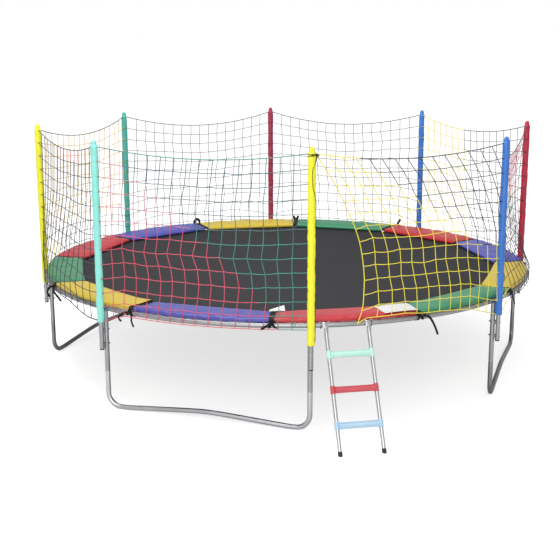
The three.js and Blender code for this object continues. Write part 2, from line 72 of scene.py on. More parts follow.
# ---- Pad straps ----
# Woven polyester webbing, sewn to the pads' ends and tied round the ring at each of the twelve
# joints between pads. Two ties slant round the tube, and one or two cut ends hang from their knot.
ring_radius = 2.135
ring_height = 0.805
tube_radius = 0.019
pad_turn = -7.5
pad_angle = 30.0
pad_count = 12
strap_width = 0.018
strap_thickness = 0.0018
strap_black = "#101012"
strap_worn = "#1F1F22"
webbing_rib = 0.003  # real ribs are 1.5 mm apart, drawn twice as coarse to show
wave_length = 0.314  # from band to band of a wave texture whose scale is one


def spot(angle, radius, height):
    """Places at an angle from the front pole, a radius from the ring's axis and a height."""
    turn = np.radians(np.asarray(angle, float) - 90)
    parts = axis_x + radius * np.cos(turn), axis_y + radius * np.sin(turn), height
    return np.stack(np.broadcast_arrays(*parts), -1)


def compass(angle):
    """The directions outwards and anticlockwise along the ring at an angle from the front pole."""
    turn = math.radians(angle - 90)
    outwards = np.array([math.cos(turn), math.sin(turn), 0])
    return outwards, np.array([-outwards[1], outwards[0], 0])


def curve_through(knots, count):
    """A smooth path of that many points through a few knots."""
    knots = np.asarray(knots, float)
    padded = np.vstack([2 * knots[0] - knots[1], knots, 2 * knots[-1] - knots[-2]])
    along = np.linspace(0, len(knots) - 1, count)
    piece = np.minimum(along.astype(int), len(knots) - 2)
    t = (along - piece)[:, None]
    a, b, c, d = (padded[piece + i] for i in range(4))
    return 0.5 * (2 * b + (c - a) * t + (2 * a - 5 * b + 4 * c - d) * t**2
                  + (3 * b - a - 3 * c + d) * t**3)


def hoop(middle, turn, first, second):
    """Places round a middle: along the first direction at turn zero, along the second a quarter on."""
    return middle + np.outer(np.cos(turn), first) + np.outer(np.sin(turn), second)


def unit(vectors):
    """The same directions with length one."""
    return vectors / np.maximum(np.linalg.norm(vectors, axis=-1, keepdims=True), 1e-12)


def ring_faces(rows, columns, closed=False):
    """Faces between rings of points, with a cap at each end unless the last ring meets the first."""
    here = np.arange(rows if closed else rows - 1)[:, None] * columns
    after = (here + columns) % (rows * columns)
    corner, beside = np.arange(columns)[None], (np.arange(columns)[None] + 1) % columns
    quads = np.stack([here + corner, after + corner, after + beside, here + beside], -1).reshape(-1, 4)
    if closed:
        return quads.tolist()
    caps = [list(range(columns)), list(range(rows * columns - 1, (rows - 1) * columns - 1, -1))]
    return quads.tolist() + caps


def swept(path, outline, across=None, scale=None, ahead=None, closed=False):
    """Points and faces of a bar. Its outline's first coordinate lies along `across` or turns freely."""
    path, outline = np.asarray(path, float), np.asarray(outline, float)
    if ahead is None:
        ahead = np.roll(path, -1, 0) - np.roll(path, 1, 0) if closed else np.gradient(path, axis=0)
    ahead = unit(ahead)
    if across is None:
        guide = (0, 0, 1) if abs(ahead[0][2]) < 0.9 else (1, 0, 0)
        side = [np.cross(ahead[0], guide)]
        for direction in ahead[1:]:
            side.append(side[-1] - direction * np.dot(side[-1], direction))
            side[-1] = side[-1] / np.linalg.norm(side[-1])
        side = np.array(side)
    else:
        side = np.broadcast_to(np.asarray(across, float), path.shape)
    side = unit(side - ahead * np.sum(side * ahead, 1, keepdims=True))
    up = np.cross(side, ahead)
    size = np.ones(len(path)) if scale is None else np.asarray(scale, float)
    flat = outline[None] * size[:, None, None]
    points = path[:, None] + side[:, None] * flat[..., :1] + up[:, None] * flat[..., 1:]
    return points.reshape(-1, 3), ring_faces(len(path), len(outline), closed)


def circle(radius, sides):
    """The outline of a round bar."""
    turn = 2 * np.pi * (np.arange(sides) + 0.5) / sides
    return radius * np.stack([np.cos(turn), np.sin(turn)], 1)


def rounded_box(width, height, corner, steps=3):
    """The outline of a bar with rounded edges."""
    turn = np.radians(np.linspace(0, 90, steps + 1))
    points = []
    for quarter, (x, y) in enumerate([(1, 1), (-1, 1), (-1, -1), (1, -1)]):
        middle = np.array([x * (width / 2 - corner), y * (height / 2 - corner)])
        bend = turn + quarter * np.pi / 2
        points.append(middle + corner * np.stack([np.cos(bend), np.sin(bend)], 1))
    return np.concatenate(points)


def make_piece(name, parts, materials, body=None, stands_for=(), crease=40):
    """One mesh from parts, each (points, faces) or (points, faces, number of its material)."""
    points, faces, finishes, count = [], [], [], 0
    for part in parts:
        finish = part[2] if len(part) > 2 else 0
        points.append(part[0])
        faces.extend([[corner + count for corner in face] for face in part[1]])
        finishes.extend([finish] * len(part[1]) if np.isscalar(finish) else list(finish))
        count += len(part[0])
    mesh = bpy.data.meshes.new(name)
    mesh.from_pydata(np.concatenate(points).tolist(), [], faces)
    for material in materials:
        mesh.materials.append(material)
    mesh.polygons.foreach_set("material_index", finishes)
    mesh.polygons.foreach_set("use_smooth", [True] * len(faces))
    mesh.set_sharp_from_angle(angle=math.radians(crease))
    piece = bpy.data.objects.new(name, mesh)
    bpy.context.collection.objects.link(piece)
    if body:
        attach(piece, body)
    if stands_for:
        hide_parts(*stands_for)
    return piece


def paint(code):
    """An sRGB hex colour as the linear colour that a shader takes."""
    parts = [int(code[i:i + 2], 16) / 255 for i in (1, 3, 5)]
    return (*[p / 12.92 if p <= 0.04045 else ((p + 0.055) / 1.055) ** 2.4 for p in parts], 1)


def set_inputs(tree, node, inputs):
    """Each input takes a value, or a link where it is given another node's socket."""
    for name, value in inputs.items():
        if isinstance(value, bpy.types.NodeSocket):
            tree.links.new(value, node.inputs[name])
        else:
            node.inputs[name].default_value = value
    return node


def add_node(tree, kind, settings, inputs):
    """A node with its settings, values and links."""
    node = tree.nodes.new(kind)
    for name, value in settings.items():
        setattr(node, name, value)
    return set_inputs(tree, node, inputs)


def new_material(name, sockets):
    """A material with its Principled shader's own sockets set, its tree and that shader."""
    material = bpy.data.materials.new(name)
    material.use_nodes = True
    shader = material.node_tree.nodes["Principled BSDF"]
    set_inputs(material.node_tree, shader, sockets)
    return material, material.node_tree, shader


def mottled(name, sockets, tones, scale, detail=4.0, bump=None):
    """A material that drifts between two tones with a noise. The noise may also raise the surface, by
    a bump of that strength and distance. Gives the material, its tree, shader, place and noise."""
    material, tree, shader = new_material(name, sockets)
    place = add_node(tree, "ShaderNodeTexCoord", {}, {}).outputs["Object"]
    noise = add_node(tree, "ShaderNodeTexNoise", {}, {
        "Vector": place, "Scale": scale, "Detail": detail}).outputs["Fac"]
    colour = add_node(tree, "ShaderNodeMixRGB", {}, {
        "Fac": noise, "Color1": paint(tones[0]), "Color2": paint(tones[1])})
    set_inputs(tree, shader, {"Base Color": colour.outputs["Color"]})
    if bump:
        relief = add_node(tree, "ShaderNodeBump", {}, {
            "Height": noise, "Strength": bump[0], "Distance": bump[1]})
        set_inputs(tree, shader, {"Normal": relief.outputs["Normal"]})
    return material, tree, shader, place, noise


def webbing_polyester():
    """Woven polyester webbing: matte black, with fine cross ribs and a slightly greyer wear."""
    material, tree, shader, place, _ = mottled("woven_polyester_webbing", {
        "Roughness": 0.85, "Specular IOR Level": 0.25, "Sheen Weight": 0.05},
        (strap_black, strap_worn), 60.0)
    ribs = add_node(tree, "ShaderNodeTexWave", {"bands_direction": "Z"}, {
        "Vector": place, "Scale": wave_length / webbing_rib, "Distortion": 0.5})
    relief = add_node(tree, "ShaderNodeBump", {}, {
        "Height": ribs.outputs["Fac"], "Strength": 0.5, "Distance": 0.0006})
    set_inputs(tree, shader, {"Normal": relief.outputs["Normal"]})
    return material


webbing = webbing_polyester()
strap_outline = rounded_box(strap_width, strap_thickness, strap_thickness * 0.45, 1)
# The free ends: number of the joint, then the places that each one passes: along the ring, down,
# and outwards where it isn't just hanging
tail_routes = [
    (1, [(0.032, -0.018), (0.004, -0.012), (-0.030, 0.008), (-0.072, 0.034)]),
    (2, [(0.062, 0.0), (0.094, 0.032), (0.126, 0.090), (0.152, 0.156)]),
    (3, [(0, 0), (0.018, 0.036), (0.034, 0.075), (0.05, 0.11)]),
    (4, [(0, 0), (-0.016, 0.04), (-0.024, 0.08), (-0.04, 0.12)]),
    (5, [(0, 0), (0.024, 0.034), (0.038, 0.074), (0.06, 0.11)]),
    (6, [(0, 0), (-0.022, 0.036), (-0.036, 0.07), (-0.05, 0.11)]),
    (7, [(0, 0), (0.012, 0.04), (0.030, 0.08), (0.04, 0.12)]),
    (8, [(0, 0), (0.022, 0.036), (0.032, 0.075), (0.05, 0.11)]),
    (9, [(0, 0), (-0.020, 0.034), (-0.038, 0.074), (-0.05, 0.11)]),
    (10, [(0, 0), (0.016, 0.04), (0.024, 0.08), (0.04, 0.12)]),
    (11, [(0.01, 0), (0.030, 0.034, 0.006), (0.050, 0.070, -0.014), (0.072, 0.112, -0.040)]),
    (11, [(-0.01, -0.005), (-0.034, 0.012, 0.026), (-0.040, 0.050, 0.040), (-0.034, 0.092, 0.026)]),
    (12, [(0, 0), (0.022, 0.03), (0.026, 0.065), (0.050, 0.104)]),
    (12, [(0, 0), (-0.055, 0.012), (-0.098, 0.046), (-0.088, 0.066), (-0.064, 0.072)])]
outer_face = ring_radius + tube_radius


def strap_tail(name, angle, route):
    """A cut end of webbing that comes over the ring's outer face and hangs down."""
    outwards, along = compass(angle)
    start = spot(angle, outer_face + 0.004, ring_height + 0.013)
    knots = [start + along * stop[0] + outwards * (stop[2] if len(stop) > 2 else 0.005 * n)
             - np.array([0, 0, stop[1]]) for n, stop in enumerate(route)]
    path = curve_through(knots, 30)
    facing = along if len(route[1]) > 2 else outwards
    points, faces = swept(path, strap_outline, np.cross(facing, np.gradient(path, axis=0)))
    piece = make_piece(name, [(points, faces)], [webbing], "frame")


def slanted_tie(angle, sideways):
    """A strap sewn to the pad's end that slants over the tube's outer face and ends under it."""
    path, reach = [], tube_radius + 0.0022
    middle = spot(angle, ring_radius, ring_height)
    for share in np.linspace(0, 1, 22):
        turn = math.radians(70 - 215 * share)
        outwards, along = compass(angle + math.degrees(sideways * share / ring_radius))
        path.append(middle + along * sideways * share + outwards * reach * math.cos(turn)
                    + np.array([0, 0, reach * math.sin(turn)]))
    path = np.array(path)
    ahead = unit(np.gradient(path, axis=0))
    _, along = compass(angle)
    away = path - middle
    away -= np.outer(away @ along, along)
    return swept(path, strap_outline, np.cross(ahead, unit(away)))


for n, (joint, route) in enumerate(tail_routes):
    strap_tail(f"strap_tail_{n + 1}", pad_turn + (joint - 1) * pad_angle, route)

# Three back joints have a strap that stands up in a bow above the pads
standing_bows = {6: [(-0.045, 0.02), (-0.040, -0.020), (-0.058, -0.052), (-0.070, -0.066)],
                 7: [(0.034, -0.044), (0.018, -0.018), (0.004, 0.012), (-0.010, -0.018),
                     (-0.024, -0.044)],
                 8: [(0.020, 0.016), (0.030, -0.016), (0.010, -0.046), (-0.022, -0.040),
                     (-0.032, -0.006), (-0.024, 0.016)]}
for joint in range(pad_count):
    angle = pad_turn + joint * pad_angle
    outwards, along = compass(angle)
    # Two ties slant over the tube, and their knot sits on its outer face
    lean = 1 if joint in (0, 1) else -1
    bands = [slanted_tie(angle, 0.055 * lean), slanted_tie(angle, -0.028 * lean)]
    aside = 0.040 if joint == 1 else 0.0
    knot_middle = spot(angle, outer_face + 0.004, ring_height + 0.014) + along * aside
    for tilt in (0.5, -0.6):
        turn = np.linspace(0, 2 * np.pi, 18, endpoint=False)
        wrap = hoop(knot_middle, turn, 0.011 * (along + [0, 0, tilt]), 0.0075 * (outwards + [0, 0, 0.3]))
        bands.append(swept(wrap, strap_outline * [0.8, 1.6], [0, 0, 1], closed=True))
    # A broad band closes the gap between the two pads and turns down over their outer walls
    band = [(1.875, 0.829), (1.888, 0.836), (1.95, 0.8395), (2.03, 0.843), (2.10, 0.846),
            (2.138, 0.8465), (2.1475, 0.842), (2.1515, 0.834), (2.1525, 0.824), (2.155, 0.816)]
    band = curve_through([spot(angle, radius, height + 0.0035) for radius, height in band], 34)
    band_width = 0.040 if joint in (6, 7) else 0.030
    bands.append(swept(band, rounded_box(band_width, strap_thickness, 0.0008, 1), along))
    if joint + 1 in standing_bows:
        start = spot(angle, outer_face + 0.002, ring_height + 0.040)
        bow = curve_through([start + along * side - np.array([0, 0, low])
                             for side, low in standing_bows[joint + 1]], 24)
        bands.append(swept(bow, rounded_box(0.014, 0.025, 0.006, 2), outwards))
    make_piece(f"strap_band_{joint + 1}", bands, [webbing], "frame")

# ---- Top ring with its uprights ----
# Eight bent lengths of galvanised steel tube, 38 x 1.5 mm. Each one's end is drawn in and slides
# into the next, a self-tapping screw holds it, and an upright is welded under each.
side_angle = 45.0
pole_names = ["front", "front_right", "right", "back_right", "back", "back_left", "left", "front_left"]
segment_lead = math.degrees(0.105 / ring_radius)
upright_foot = 0.304
tube_wall = 0.0015
joint_gap = 0.0012
zinc_tones = ("#A0A1A4", "#C0C1C4")
weld_tones = ("#6E7074", "#9A9B9E")
plated_tones = ("#A5A7AA", "#C8CACC")
spangle_size = 0.012
smooth_sides = 24


def galvanised_steel(name, deep, light, smooth=0.34, rough=0.5):
    """Hot-dip galvanised steel: a satin grey metal with a faint spangle and drawn streaks."""
    material, tree, shader = new_material(name, {"Metallic": 1.0})
    place = add_node(tree, "ShaderNodeTexCoord", {}, {}).outputs["Object"]
    spangle = add_node(tree, "ShaderNodeTexVoronoi", {"feature": "F1"}, {
        "Vector": place, "Scale": 1 / spangle_size, "Randomness": 1.0})
    cloud = add_node(tree, "ShaderNodeTexNoise", {}, {"Vector": place, "Scale": 7.0, "Detail": 5.0})
    zinc = add_node(tree, "ShaderNodeMixRGB", {}, {
        "Fac": cloud.outputs["Fac"], "Color1": paint(deep), "Color2": paint(light)})
    grains = add_node(tree, "ShaderNodeMixRGB", {"blend_type": "SOFT_LIGHT"}, {
        "Fac": 0.14, "Color1": zinc.outputs["Color"], "Color2": spangle.outputs["Color"]})
    drawn = add_node(tree, "ShaderNodeTexNoise", {}, {"Vector": place, "Scale": 90.0, "Detail": 3.0})
    dull = add_node(tree, "ShaderNodeMapRange", {}, {
        "Value": cloud.outputs["Fac"], "From Min": 0.3, "From Max": 0.7,
        "To Min": smooth, "To Max": rough})
    bump = add_node(tree, "ShaderNodeBump", {}, {
        "Height": drawn.outputs["Fac"], "Strength": 0.12, "Distance": 0.0004})
    set_inputs(tree, shader, {"Base Color": grains.outputs["Color"], "Roughness": dull.outputs["Result"],
                              "Normal": bump.outputs["Normal"]})
    return material


steel = galvanised_steel("hot_dip_galvanised_steel", *zinc_tones)
# Arc-welded bead sprayed with zinc paint: darker and rougher than the tube
bead = mottled("welded_bead_zinc_sprayed", {"Metallic": 1.0, "Roughness": 0.55}, weld_tones, 300.0,
               bump=(0.6, 0.001))[0]
# Electroplated zinc of bolts and screws: brighter and smoother than the dipped tubes
plated = mottled("zinc_plated_bolt_steel", {"Metallic": 1.0, "Roughness": 0.28}, plated_tones,
                 150.0, 2.0)[0]
round_tube = circle(1.0, smooth_sides)


def hex_bolt(place, direction, across_flats=0.013, thick=0.006, washer=0.009):
    """A bolt head with its washer and a little dome, standing on a face."""
    direction = unit(np.asarray(direction, float))
    place = np.asarray(place, float)
    disc = swept([place, place + direction * 0.0016], circle(washer, 16))
    turned = circle(across_flats / math.sqrt(3), 6)
    steps = [0.0016, 0.0016 + 0.8 * thick, 0.0016 + thick, 0.0016 + 1.05 * thick]
    head = swept([place + direction * step for step in steps], turned, scale=[1, 1, 0.86, 0.5],
                 ahead=[direction] * 4)
    return [disc, head]


for i, name in enumerate(pole_names):
    angle = i * side_angle
    outwards, along = compass(angle)
    start, end = angle - segment_lead, angle + side_angle - segment_lead
    gap = math.degrees(joint_gap / ring_radius)
    depth = math.degrees(0.02 / ring_radius)
    # From inside the open end, out round its lip, along the bend, then down to the drawn-in end
    turns = np.concatenate([[start + depth, start, start], np.linspace(start + 0.05, end - 0.35, 40),
                            [end - 0.22, end - 0.1, end + depth * 0.8]])
    radii = np.full(len(turns), tube_radius)
    radii[:2] = tube_radius - tube_wall
    radii[-3:] = [tube_radius - 0.0002, tube_radius - 0.0022, tube_radius - 0.0022]
    turns[-3] -= gap
    turns[-2] -= gap
    headings = np.array([compass(turn)[1] for turn in turns])
    arc = swept(spot(turns, ring_radius, ring_height), round_tube, across=[0, 0, 1], scale=radii,
                ahead=headings)
    parts = [arc]
    # The upright is coped at its top, so that it sits on the ring's tube
    heights = np.linspace(upright_foot, ring_height - 0.03, 12).tolist() + [ring_height - tube_radius]
    foot = spot(angle, ring_radius, 0.0)
    stations = [foot + [0, 0, upright_foot + 0.03], foot + [0, 0, upright_foot]]
    stations += [foot + [0, 0, height] for height in heights]
    inner = tube_radius - tube_wall
    points, faces = swept(stations, round_tube, across=outwards, ahead=[[0, 0, 1]] * len(stations),
                          scale=[inner, inner] + [tube_radius] * (len(stations) - 2))
    last = points[-smooth_sides:]
    beside = (last - foot) @ along
    last[:, 2] = ring_height - np.abs(beside)
    parts.append((points, faces))
    # Weld bead round the cope, with the ripple of a hand-laid weld
    turn = np.linspace(0, 2 * np.pi, 48, endpoint=False)
    reach = tube_radius + 0.001
    seam = hoop(foot, turn, reach * outwards, reach * along)
    seam[:, 2] += ring_height - 0.001 - tube_radius * np.abs(np.sin(turn))
    ripple = 0.0026 * (1 + 0.18 * np.sin(17 * turn + i) + 0.1 * np.sin(29 * turn))
    seam_points, seam_faces = swept(seam, circle(1.0, 8), scale=ripple, closed=True)
    parts.append((seam_points, seam_faces, 1))
    # Self-tapping screw beside the joint
    screw = spot(start + 0.75, outer_face - 0.0005, ring_height + 0.002)
    parts += [(*part, 2) for part in hex_bolt(screw, compass(start + 0.75)[0], 0.008, 0.0035, 0.006)]
    make_piece(f"ring_tube_{name}", parts, [steel, bead, plated], "frame",
               [f"ring_segment_{name}"])

# ---- Leg bases ----
# Four tubes of the same steel join neighbouring uprights, each bent twice, with an arched bar
# between. Their drawn-in ends slide up into the uprights, and they stand on the level stretches
# beside their bends.
leg_starts = {"front": 7, "right": 1, "back": 3, "left": 5}
leg_bend = 0.110
leg_level = 0.060
leg_rise = 0.038
leg_low = 0.019
# Lighter and darker copies of the same galvanised steel. The front base, which faces the lamps, gets
# painted light, and the other three, turned away from them, get painted shade. The lighter copy is also
# a little smoother.
front_painted_lit_steel = galvanised_steel("galvanised_steel_painted_lit", "#C2C3C6", "#E0E1E4", 0.30, 0.42)
far_painted_shade_steel = galvanised_steel("galvanised_steel_painted_shade", "#8A8C8F", "#A8AAAD")
chord = 2 * ring_radius * math.sin(math.radians(side_angle / 2))

for name, first in leg_starts.items():
    begin = spot(first * side_angle, ring_radius, 0.0)
    finish = spot((first + 1) * side_angle, ring_radius, 0.0)
    run = unit(finish - begin)
    half = [(0, upright_foot + 0.03, 0.0022), (0, upright_foot + 0.0008, 0.0022),
            (0, upright_foot - 0.0012, 0.0003), (0, upright_foot - 0.003, 0), (0, 0.25, 0), (0, 0.18, 0)]
    for turn in np.radians(np.linspace(0, 90, 19)):
        half.append((leg_bend * (1 - math.cos(turn)), leg_low + leg_bend * (1 - math.sin(turn)), 0))
    level_end = leg_bend + leg_level
    for share in np.linspace(0, 1, 24):
        x = level_end + share * (chord / 2 - level_end)
        half.append((x, leg_low + leg_rise * (share - 0.12 * share**8) / 0.88, 0))
    whole = half + [(chord - x, z, thin) for x, z, thin in half[-2::-1]]
    path = np.array([begin + run * x + [0, 0, z] for x, z, _ in whole])
    radii = [tube_radius - thin for _, _, thin in whole]
    across = np.cross(run, [0, 0, 1])
    tube = swept(path, round_tube, across=across, scale=radii)
    # The front base takes the copy with painted light, the others the copy with painted shade
    painted_lit_or_shade_steel = front_painted_lit_steel if name == "front" else far_painted_shade_steel
    make_piece(f"leg_base_tube_{name}", [tube], [painted_lit_or_shade_steel], "frame",
               [f"leg_base_{name}"])

# ---- Jumping mat ----
# One disc of woven black polypropylene, held stretched by the springs. Its edge is sewn to the hem
# band, which comes next, and a line of lock stitch runs round it just inside that band.
mat_radius = 1.895
mat_thickness = 0.003
thread_spacing = 0.010  # real threads are about 1.2 mm apart, drawn coarser to show
mat_grey = "#323236"
mat_dark = "#28282B"
thread_tones = ("#4A4A50", "#6A6A70")


def woven_polypropylene():
    """Woven polypropylene mesh: a matte charcoal ground with a basket weave and faint bands of wear."""
    material, tree, shader = new_material("woven_polypropylene_mesh", {
        "Roughness": 0.75, "Specular IOR Level": 0.2})
    place = add_node(tree, "ShaderNodeTexCoord", {}, {}).outputs["Object"]
    threads = []
    for direction in ("X", "Y"):
        threads.append(add_node(tree, "ShaderNodeTexWave", {"bands_direction": direction}, {
            "Vector": place, "Scale": wave_length / thread_spacing, "Distortion": 0.0}).outputs["Fac"])
    weave = add_node(tree, "ShaderNodeMath", {"operation": "MULTIPLY"}, {0: threads[0], 1: threads[1]})
    cloud = add_node(tree, "ShaderNodeTexNoise", {}, {"Vector": place, "Scale": 1.6, "Detail": 6.0})
    ground = add_node(tree, "ShaderNodeMixRGB", {}, {
        "Fac": cloud.outputs["Fac"], "Color1": paint(mat_dark), "Color2": paint(mat_grey)})
    crossing = add_node(tree, "ShaderNodeMixRGB", {"blend_type": "MULTIPLY"}, {
        "Fac": 0.25, "Color1": ground.outputs["Color"], "Color2": weave.outputs["Value"]})
    lifted = add_node(tree, "ShaderNodeMixRGB", {"blend_type": "ADD"}, {
        "Fac": 0.03, "Color1": crossing.outputs["Color"], "Color2": weave.outputs["Value"]})
    bump = add_node(tree, "ShaderNodeBump", {}, {
        "Height": weave.outputs["Value"], "Strength": 0.4, "Distance": 0.0008})
    set_inputs(tree, shader, {"Base Color": lifted.outputs["Color"], "Normal": bump.outputs["Normal"]})
    return material


mat_weave = woven_polypropylene()
# Bonded nylon thread: a dull grey line of short stitches
stitching = mottled("bonded_nylon_thread", {"Roughness": 0.6}, thread_tones, 400.0, 2.0)[0]
mat_height = (mat_low.z + mat_high.z) / 2
around = 160
radii = np.concatenate([[0.02], np.linspace(0.12, mat_radius, 20)])
turn = 360 * np.arange(around) / around
layers = []
for height in (mat_height + mat_thickness / 2, mat_height - mat_thickness / 2):
    layers += [spot(turn, radius, height) for radius in (radii if not layers else radii[::-1])]
disc = np.concatenate(layers), ring_faces(len(layers), around)
mat_piece = make_piece("woven_mat", [disc], [mat_weave], "mat", ["jumping_mat"])

# ---- Hem band and spring rings ----
# A doubled polyester webbing along the mat's edge, sewn with two rows of stitches.
# Each of its eighty steel rings takes the hook of one spring.
hem_width = 0.025
spring_count = 80
spring_turn = 4.5
hem_ring, ring_wire = 0.008, 0.0025
band_outline = rounded_box(hem_width, 0.006, 0.0025, 2)
circle_turns = np.linspace(0, 360, 240, endpoint=False)
headings = np.array([compass(turn)[0] for turn in circle_turns])
hem_middle = mat_radius + 0.0003 + hem_width / 2
band = swept(spot(circle_turns, hem_middle, ring_height), band_outline, across=headings, closed=True)
parts = [(*band, 0)]
# Rows of stitches: one on the mat, two on the band
for row in (mat_radius - 0.012, mat_radius + 0.006, mat_radius + 0.019):
    wave = ring_height + 0.0032 + (0.0003 if row > mat_radius else -0.0014)
    thread = swept(spot(circle_turns, row, wave), circle(0.0007, 5), across=headings, closed=True)
    parts.append((*thread, 2))
for n in range(spring_count):
    angle = (n + 0.25) * spring_turn
    out, along = compass(angle)
    turns = np.linspace(0, 2 * np.pi, 12, endpoint=False)
    place = spot(angle, mat_radius + hem_width - 0.002, ring_height)
    loop = hoop(place, turns, hem_ring * out, hem_ring * along)
    parts.append((*swept(loop, circle(ring_wire / 2, 6), across=[0, 0, 1], closed=True), 1))
make_piece("mat_hem_band", parts, [webbing, plated, stitching], "mat")

# ---- Coil springs ----
# Eighty close-wound extension springs of galvanised spring wire. One end hook sits in the mat's
# ring, the other sits in a hole of the top ring.
wire_radius = 0.0016
coil_radius = 0.0062
coil_pitch = 0.0052  # real coils touch at 3.2 mm, drawn wider so that each one shows
group_size = 5
wire_tones = ("#77797D", "#9C9EA2")
# Galvanised spring wire: a dull, slightly dark metal with a drawn grain
wire_finish = mottled("galvanised_spring_wire", {"Metallic": 1.0, "Roughness": 0.36}, wire_tones,
                      40.0, 3.0)[0]
spring_inner, spring_outer = mat_radius + hem_width + 0.004, ring_radius - tube_radius + 0.004
for group in range(spring_count // group_size):
    parts, middle = [], 0.0
    for n in range(group * group_size, (group + 1) * group_size):
        angle = (n + 0.25) * spring_turn
        middle += angle / group_size
        out, along = compass(angle)
        first, last = spring_inner + 0.014, spring_outer - 0.016
        coils = int((last - first) / coil_pitch)
        turn = np.linspace(0, 2 * np.pi * coils, coils * 9 + 1)
        middles = spot(angle, first + (last - first) * turn / turn[-1], ring_height)
        helix = hoop(middles, turn, coil_radius * along, [0, 0, coil_radius])
        parts.append(swept(helix, circle(wire_radius, 5), across=np.tile(out, (len(helix), 1))))
        for tip, body, sign in ((spring_inner - 0.006, first, 1), (spring_outer, last, -1)):
            stops = [(body, coil_radius), (body - sign * 0.006, 0.003), ((tip + body) / 2, 0.0),
                     (tip + sign * 0.003, -0.001), (tip, -0.004), (tip + sign * 0.004, -0.006)]
            hook = curve_through([spot(angle, radius, ring_height + rise) for radius, rise in stops], 14)
            parts.append(swept(hook, circle(wire_radius, 6), across=along))
    springs = make_piece(f"coil_springs_{group + 1}", parts, [wire_finish])
    if group == 0:
        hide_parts("mat_springs")
    out, _ = compass(middle)
    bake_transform(springs)

# ---- Safety pads ----
# Twelve foam pads in PVC-coated polyester cloth, in four colours. Black binding tape closes both
# short ends, and the straps above hold them over the springs, where they slope down to the mat.
pad_colors = ["red", "green", "yellow", "blue"]
pad_half = 15.0
pad_inner, pad_outer = 1.880, 2.147
pad_length, pad_depth = 0.98, 0.267
pad_seat_radius = ring_radius * math.cos(math.radians(3.75)) - tube_radius / 2
pad_seat = ring_height + tube_radius + 0.0003
pad_slope = 0.043
pad_wall, pad_roll, pad_crown, pad_pull, pad_gap = 0.026, 0.006, 0.014, 0.007, 0.008
binding_width = 0.017
pad_swell = 0.006  # the most that the foam's cover moves under pressure
cloth_grid, cloth_steps = 0.0075, 20
vinyl_tones = {"red": ("#B4222E", "#C4323E"), "green": ("#2C7E5A", "#3A9068"),
               "yellow": ("#C8AC2A", "#D8BE40"), "blue": ("#4246A0", "#5456B0")}


def fine_steps(length, middle_count):
    """Places along a length that lie closer together at both ends, for rolled edges."""
    ends = np.array([0, 0.0008, 0.0022, 0.004, 0.006, 0.010, 0.017])
    middle = np.linspace(0.026, length - 0.026, middle_count)
    return np.concatenate([ends, middle, length - ends[::-1]]) / length


def slab_faces(rows, columns):
    """Faces of a slab between a grid of points on top and the same grid underneath."""
    size = rows * columns
    corner = np.arange(size).reshape(rows, columns)
    a, b, c, d = corner[:-1, :-1], corner[1:, :-1], corner[1:, 1:], corner[:-1, 1:]
    upper = np.stack([a, d, c, b], -1).reshape(-1, 4)
    under = np.stack([a, b, c, d], -1).reshape(-1, 4) + size
    rim = np.concatenate([corner[:, 0], corner[-1, 1:], corner[-2::-1, -1], corner[0, -2:0:-1]])
    nearby = np.roll(rim, -1)
    wall = np.stack([rim, nearby, nearby + size, rim + size], -1)
    return np.concatenate([upper, under, wall])


def pad_form():
    """One pad about angle zero: x outwards from the ring's axis, y along the ring."""
    along = fine_steps(pad_length, 44)
    across = fine_steps(pad_depth, 9)
    side, depth = np.meshgrid(2 * along - 1, 2 * across - 1, indexing="ij")
    angle = np.radians(pad_half) * side
    inner = pad_inner * math.cos(math.radians(pad_half)) / np.cos(angle) + pad_pull * (1 - side**2)
    radius = inner + (depth + 1) / 2 * (pad_outer - inner)
    drawn = pad_gap / 2 + pad_pull * (1 - depth**2)
    sideways = radius * np.sin(angle) - np.sign(side) * drawn * np.abs(side)
    forward = radius * np.cos(angle)
    base = pad_seat + (np.hypot(forward, sideways) - pad_seat_radius) * pad_slope
    edge = np.minimum(pad_length / 2 * (1 - np.abs(side)), pad_depth / 2 * (1 - np.abs(depth)))
    inwards = np.clip(1 - edge / pad_roll, 0, 1)
    rolled = pad_roll * (1 - np.sqrt(1 - inwards**2))
    crown = pad_crown * (1 - side**4) * (1 - depth**4)
    top = np.stack([forward, sideways, base + pad_wall + crown - rolled], -1)
    low = np.stack([forward, sideways, base + rolled * 0.8], -1)
    points = np.concatenate([top.reshape(-1, 3), low.reshape(-1, 3)])
    return points, slab_faces(*side.shape)[:, ::-1].tolist()


def inflated(points, faces):
    """The pad's cover under the push of its foam, from a cloth simulation with air pressure."""
    mesh = bpy.data.meshes.new("pad_cover_cloth")
    mesh.from_pydata(points.tolist(), [], faces)
    cloth_pad = bpy.data.objects.new("pad_cover_cloth", mesh)
    bpy.context.collection.objects.link(cloth_pad)
    grid = cloth_pad.modifiers.new("even_grid", "REMESH")
    grid.mode, grid.voxel_size = "VOXEL", cloth_grid
    view = bpy.context.evaluated_depsgraph_get()
    even = bpy.data.meshes.new_from_object(cloth_pad.evaluated_get(view))
    cloth_pad.modifiers.clear()
    cloth_pad.data = even
    rest = np.array([vertex.co for vertex in even.vertices])
    cloth = cloth_pad.modifiers.new("cloth", "CLOTH")
    cloth.settings.use_pressure = True
    cloth.settings.uniform_pressure_force = 4.0
    cloth.settings.effector_weights.gravity = 0.0
    cloth.settings.tension_stiffness = 12.0
    cloth.settings.bending_stiffness = 0.6
    cloth.settings.quality = 5
    scene = bpy.context.scene
    for step in range(1, cloth_steps + 1):
        scene.frame_set(step)
    view = bpy.context.evaluated_depsgraph_get()
    swollen = bpy.data.meshes.new_from_object(cloth_pad.evaluated_get(view))
    moved = np.array([vertex.co for vertex in swollen.vertices]) - rest
    scene.frame_set(1)
    size = np.linalg.norm(moved, axis=1, keepdims=True)
    moved *= np.minimum(1, pad_swell / np.maximum(size, 1e-9))
    shapes = [list(face.vertices) for face in swollen.polygons]
    bpy.data.objects.remove(cloth_pad)
    return rest + moved, shapes


